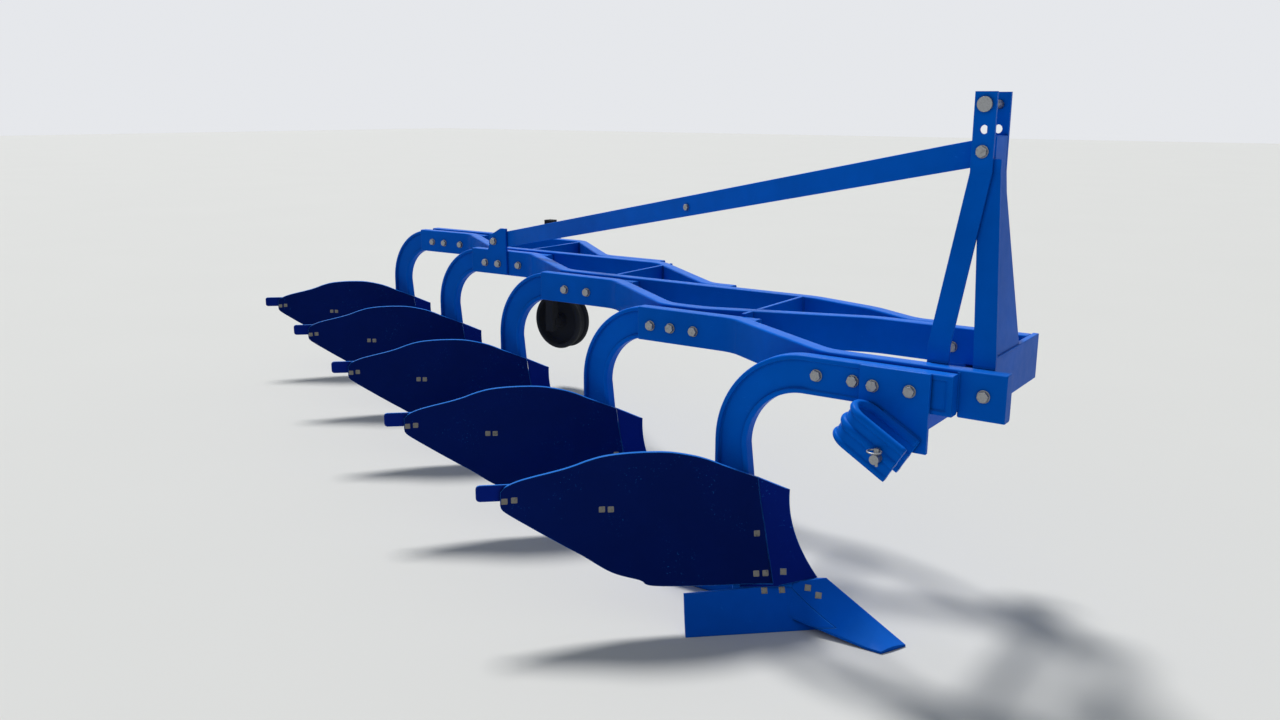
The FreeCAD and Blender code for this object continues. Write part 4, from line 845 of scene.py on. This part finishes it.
class PLOUGH_OT_castings(bpy.types.Operator):
    """Pieces whose solids already have the right form, with broken edges and paint"""
    bl_idname = "plough.castings"
    bl_label = "Castings and plates"

    def execute(self, context):
        sizes = context.scene.plough_sizes
        for name in ("cross_ties", "front_cross_plate", "frogs", "landsides", "board_braces",
                     "hitch_plate_right", "hitch_plate_left", "hitch_cross_tube", "mast_plate_right",
                     "mast_plate_left", "mast_front_leg", "mast_centre_plate", "stay_bracket",
                     "stay_spacers"):
            dressed(name, "frame", sizes.plate_round)
        for n in BODIES:
            dressed("shin_%d" % n, "shin", sizes.blade_round * 0.6)
            dressed("share_%d" % n, "share", sizes.blade_round * 0.6)
            dressed("bar_point_%d" % n, "share", sizes.blade_round)
        return {"FINISHED"}


# Bolts: height of their line, heights of head and nut, radius, half width across flats, washer
BOLT_LINE, HEAD_HIGH, NUT_HIGH, BOLT_ROUND, BOLT_FLATS, WASHER = 818, 13, 16, 10, 15, 2.4
# Stay's small bolt: its place on the near face, and the way that face looks
STAY_BOLT, STAY_OUT = (126, 729, 1216), (-0.3375, -0.9413, 0)
# Leg bolts along the level part of each leg, as shares
BOLT_SHARES = {1: (0.11, 0.42), 2: (0.13, 0.36, 0.62), 3: (0.34, 0.66), 4: (0.26, 0.49, 0.82),
               5: (0.24, 0.49, 0.83)}


def bolt_places():
    """Each bolt through the frame: along, near face, far face, height."""
    # leg 4's first two bolts go through the stay's bracket too, and leg 2's third through the sloped rail
    bracket, rail_slope, run = 14, 5, 380
    places = []
    for n, shares in BOLT_SHARES.items():
        for i, share in enumerate(shares):
            near = furrow_y(n) - LEG_THICK - (BAR_THICK if n > 1 else -WEB_AT_BOLTS)
            near -= bracket if n == 4 and i < 2 else 0
            far = furrow_y(n) + BAR_THICK + (rail_slope if (n, i) == (2, 2) else 0)
            places.append((step_x(n) + LEG_BEND + run * share, near, far, BOLT_LINE))
    # then the hitch plates', the front end's and the stay's
    (front_x, front_z), (rear_x, rear_z) = STAY_ENDS
    return places + [(1275, -65, 50, BOLT_LINE), (1387, -65, 62, BOLT_LINE), (1275, 600, 665, BOLT_LINE),
                     (1387, 588, 665, BOLT_LINE), (1577, 0, 62, BOLT_LINE), (front_x, 229, 371, front_z),
                     (rear_x, 1203, 1229, rear_z)]


def hexagon(low, high, flats, up, out, side):
    """Hexagonal head or nut between two heights along an axis, its free corners turned away to a cone."""
    corner = flats / math.cos(math.pi / 6)
    step = corner * 0.13
    profile = [(low, corner), (high - step * 0.55, corner), (high - step * 0.1, corner - step),
               (high, corner - step * 1.3)]
    return lathe(profile, side, out, up, flats=flats)


class PLOUGH_OT_fasteners(bpy.types.Operator):
    """Bolts, nuts and pins"""
    bl_idname = "plough.fasteners"
    bl_label = "Bolts and pins"

    def execute(self, context):
        heads, nuts = [], []
        washer = [(0, 18.6), (1.6, 19), (WASHER, 18.4)]
        # the thread: crests every 2.5 mm past the nut, ending in a small cone
        thread = [(NUT_HIGH - 1 + 1.25 * k, BOLT_ROUND - (k % 2) * 0.9) for k in range(5)]
        thread += [(NUT_HIGH + 5.2, BOLT_ROUND - 2)]
        for i, (x, near, far, z) in enumerate(bolt_places()):
            # no two heads stand alike
            spin = math.radians(13 + 41 * i)
            up = np.array([math.sin(spin), 0, math.cos(spin)])
            heads.append(lathe(washer, (x, near, z), (0, -1, 0)))
            heads.append(hexagon(WASHER, HEAD_HIGH, BOLT_FLATS, up, (0, -1, 0), (x, near, z)))
            nuts.append(hexagon(0, NUT_HIGH, BOLT_FLATS, up, (0, 1, 0), (x, far, z)))
            heads.append(lathe([(near - far, BOLT_ROUND)] + thread, (x, far, z), steps=32))
        # the stay's small bolt
        out, up, half = np.array(STAY_OUT), (0, 0, 1), 12
        behind = STAY_BOLT - STAY_THICK * out
        heads.append(hexagon(0, 10, half, up, out, STAY_BOLT))
        heads.append(lathe([(-STAY_THICK, 8), (17, 8), (18, 7)], behind, -out, up, steps=32))
        nuts.append(hexagon(0, 13, half, up, -out, behind))
        for name, shapes in (("frame_bolts", heads), ("frame_nuts", nuts)):
            mesh_piece(name + "_forged", in_frame(joined(shapes)), "zinc", replaces=(name,),
                       bevel=0.4 * MM, limit=25)
        for name in ("hitch_pin_right", "hitch_pin_left", "top_link_pin", "lynch_pins"):
            dressed(name, "zinc", 1.2 * MM)
        return {"FINISHED"}


# Plough bolts as shares of their sheet's length and height; the board's with their grip behind it
BOARD_STUDS = ((0.218, 0.496, 16), (0.226, 0.281, 16), (0.197, 0.281, 16), (0.696, 0.673, 14),
               (0.669, 0.671, 14), (0.987, 0.743, 8), (0.958, 0.748, 8))
SHARE_STUDS = ((0.445, 0.92), (0.325, 0.915))
POINT_STUDS = ((0.16, 0.40), (0.26, 0.41))
SHARE_LONG, SHARE_HIGH = 477, 118


def stud_places():
    """Each square bolt of body 1: centre on the face, turn, lean, sheet's thickness and grip behind it."""
    places, grip = [], 16
    sheet_studs = [("board", BOARD_LONG * a, BOARD_HIGH * b, behind) for a, b, behind in BOARD_STUDS]
    sheet_studs += [("board", SHARE_LONG * a, SHARE_HIGH * b, grip) for a, b in SHARE_STUDS]
    sheet_studs += [("shin", BOARD_LONG * 0.154, BOARD_HIGH * 0.291, grip)]
    for name, along, height, behind in sheet_studs:
        turn, _, rise, radius = BLADES[name]
        lean = math.asin((rise - height) / radius)
        places.append((on_cylinder(name, along, height, 0.0), turn, lean, BLADE_THICK, behind))
    # the point's face falls to its tip and widens back from it
    back, level, tip, wide, taper, rise, thick = 1018, 1310, 1395, 90, 28.8, 35, 8
    turn = BLADES["shin"][0] - taper / 2
    for along, across in POINT_STUDS:
        x = back + (tip - back) * along
        low = rise * (level - x) / (level - back) + thick
        top = (tip - x) * math.tan(math.radians(taper)) + 6
        spot = np.array([x, 10 - wide * across, low + (top - low) * (1 - across)])
        places.append((spot, turn, math.atan(wide / (top - low)), thick, 0))
    return places


class PLOUGH_OT_studs(bpy.types.Operator):
    """Square-headed plough bolts, crowned a little, with their nuts behind"""
    bl_idname = "plough.studs"
    bl_label = "Plough bolts"

    def execute(self, context):
        half, proud, crown, shank, end, nut_high, nut_half = 10, 0.9, 0.9, 6, 11, 10, 9
        u, v = np.meshgrid(np.linspace(-1, 1, 9), np.linspace(-1, 1, 9))
        # a pillow: level in the middle, falling away as the fourth power towards its edges
        rise = proud + crown * ((1 - u ** 4) * (1 - v ** 4)) - crown
        shapes = []
        for spot, turn, lean, sheet, grip in stud_places():
            c, s = math.cos(math.radians(turn)), math.sin(math.radians(turn))
            along = np.array([c, s, 0])
            out = np.array([-s * math.cos(lean), c * math.cos(lean), math.sin(lean)])
            up = np.cross(along, out)
            square = spot + half * u[..., None] * along + half * v[..., None] * up
            shapes.append(sheet_shell(square + rise[..., None] * out, square - sheet * out))
            back = sheet + grip
            shapes.append(lathe([(sheet - 1, shank), (back + end - 0.5, shank), (back + end, shank - 1)],
                                spot, -out, up, steps=24))
            if grip:
                shapes.append(hexagon(0, nut_high, nut_half, up, -out, spot - back * out))
        shape = joined(shapes)
        bodies = joined([on_body(shape, n) for n in BODIES])
        mesh_piece("plough_bolts_forged", in_frame(bodies), "stud", replaces=("plough_bolts",),
                   bevel=0.5 * MM, limit=40)
        return {"FINISHED"}


class PLOUGH_OT_wheel(bpy.types.Operator):
    """Depth wheel on its post"""
    bl_idname = "plough.wheel"
    bl_label = "Depth wheel"

    def execute(self, context):
        sizes = context.scene.plough_sizes
        centre = (-1508, 1955, 390)
        dressed("wheel_post", "black", sizes.plate_round, body="wheel_post")
        dressed("wheel_cap", "black", 1.0 * MM, body="wheel_post")
        # half section: bore, hub, dished disc, rim with two rounded ribs and a groove between
        bore, hub, half, rim, web, groove = 17.6, 34, 55, 164, 8, 18
        rib_at, rib_wide, rib_high = 37, 16, 13.8
        turn = np.linspace(0, np.pi, 9)
        left, right = (np.stack([middle - rib_wide * np.cos(turn), rim - 14 + rib_high * np.sin(turn)], 1)
                       for middle in (-rib_at, rib_at))
        disc = np.array([(half, bore), (half, hub - 4), (half - 4, hub), (12, hub + 3), (web, hub + 10),
                         (web, rim - 48), (14, rim - 36), (half - 3, rim - 25)])
        loop = np.concatenate([disc * (-1, 1), left, [(-groove, rim - 15), (groove, rim - 15)], right,
                               disc[::-1]])
        wheel = lathe(loop, centre, steps=96, ring=True)
        mesh_piece("depth_wheel_cast", in_frame(wheel), "wheel", body="depth_wheel",
                   replaces=("depth_wheel",), bevel=1.0 * MM, limit=40)
        dressed("post_clamp", "black", sizes.plate_round)
        dressed("clamp_screw", "black", 1.0 * MM, body="clamp_screw")
        return {"FINISHED"}


class PLOUGH_PT_panel(bpy.types.Panel):
    """Buttons for the plough's groups of pieces, and its sizes and colours"""
    bl_idname = "PLOUGH_PT_panel"
    bl_label = "Plough"
    bl_space_type = "VIEW_3D"
    bl_region_type = "UI"
    bl_category = "Plough"

    def draw(self, context):
        for operator in OPERATORS:
            self.layout.operator(operator.bl_idname)
        for group in (context.scene.plough_colours, context.scene.plough_sizes):
            for name in group.__annotations__:
                self.layout.prop(group, name)


OPERATORS = (PLOUGH_OT_stage, PLOUGH_OT_frame_bars, PLOUGH_OT_legs, PLOUGH_OT_mouldboards,
             PLOUGH_OT_tails, PLOUGH_OT_stay, PLOUGH_OT_clevises, PLOUGH_OT_welds, PLOUGH_OT_castings,
             PLOUGH_OT_fasteners, PLOUGH_OT_studs, PLOUGH_OT_wheel)
CLASSES = (PloughColours, PloughSizes) + OPERATORS + (PLOUGH_PT_panel,)


def register():
    for kind in CLASSES:
        bpy.utils.register_class(kind)
    bpy.types.Scene.plough_colours = bpy.props.PointerProperty(type=PloughColours)
    bpy.types.Scene.plough_sizes = bpy.props.PointerProperty(type=PloughSizes)


def unregister():
    del bpy.types.Scene.plough_sizes
    del bpy.types.Scene.plough_colours
    for kind in reversed(CLASSES):
        bpy.utils.unregister_class(kind)


def main():
    register()
    for operator in OPERATORS:
        group, name = operator.bl_idname.split(".")
        getattr(getattr(bpy.ops, group), name)()


if __name__ == "__main__":
    main()
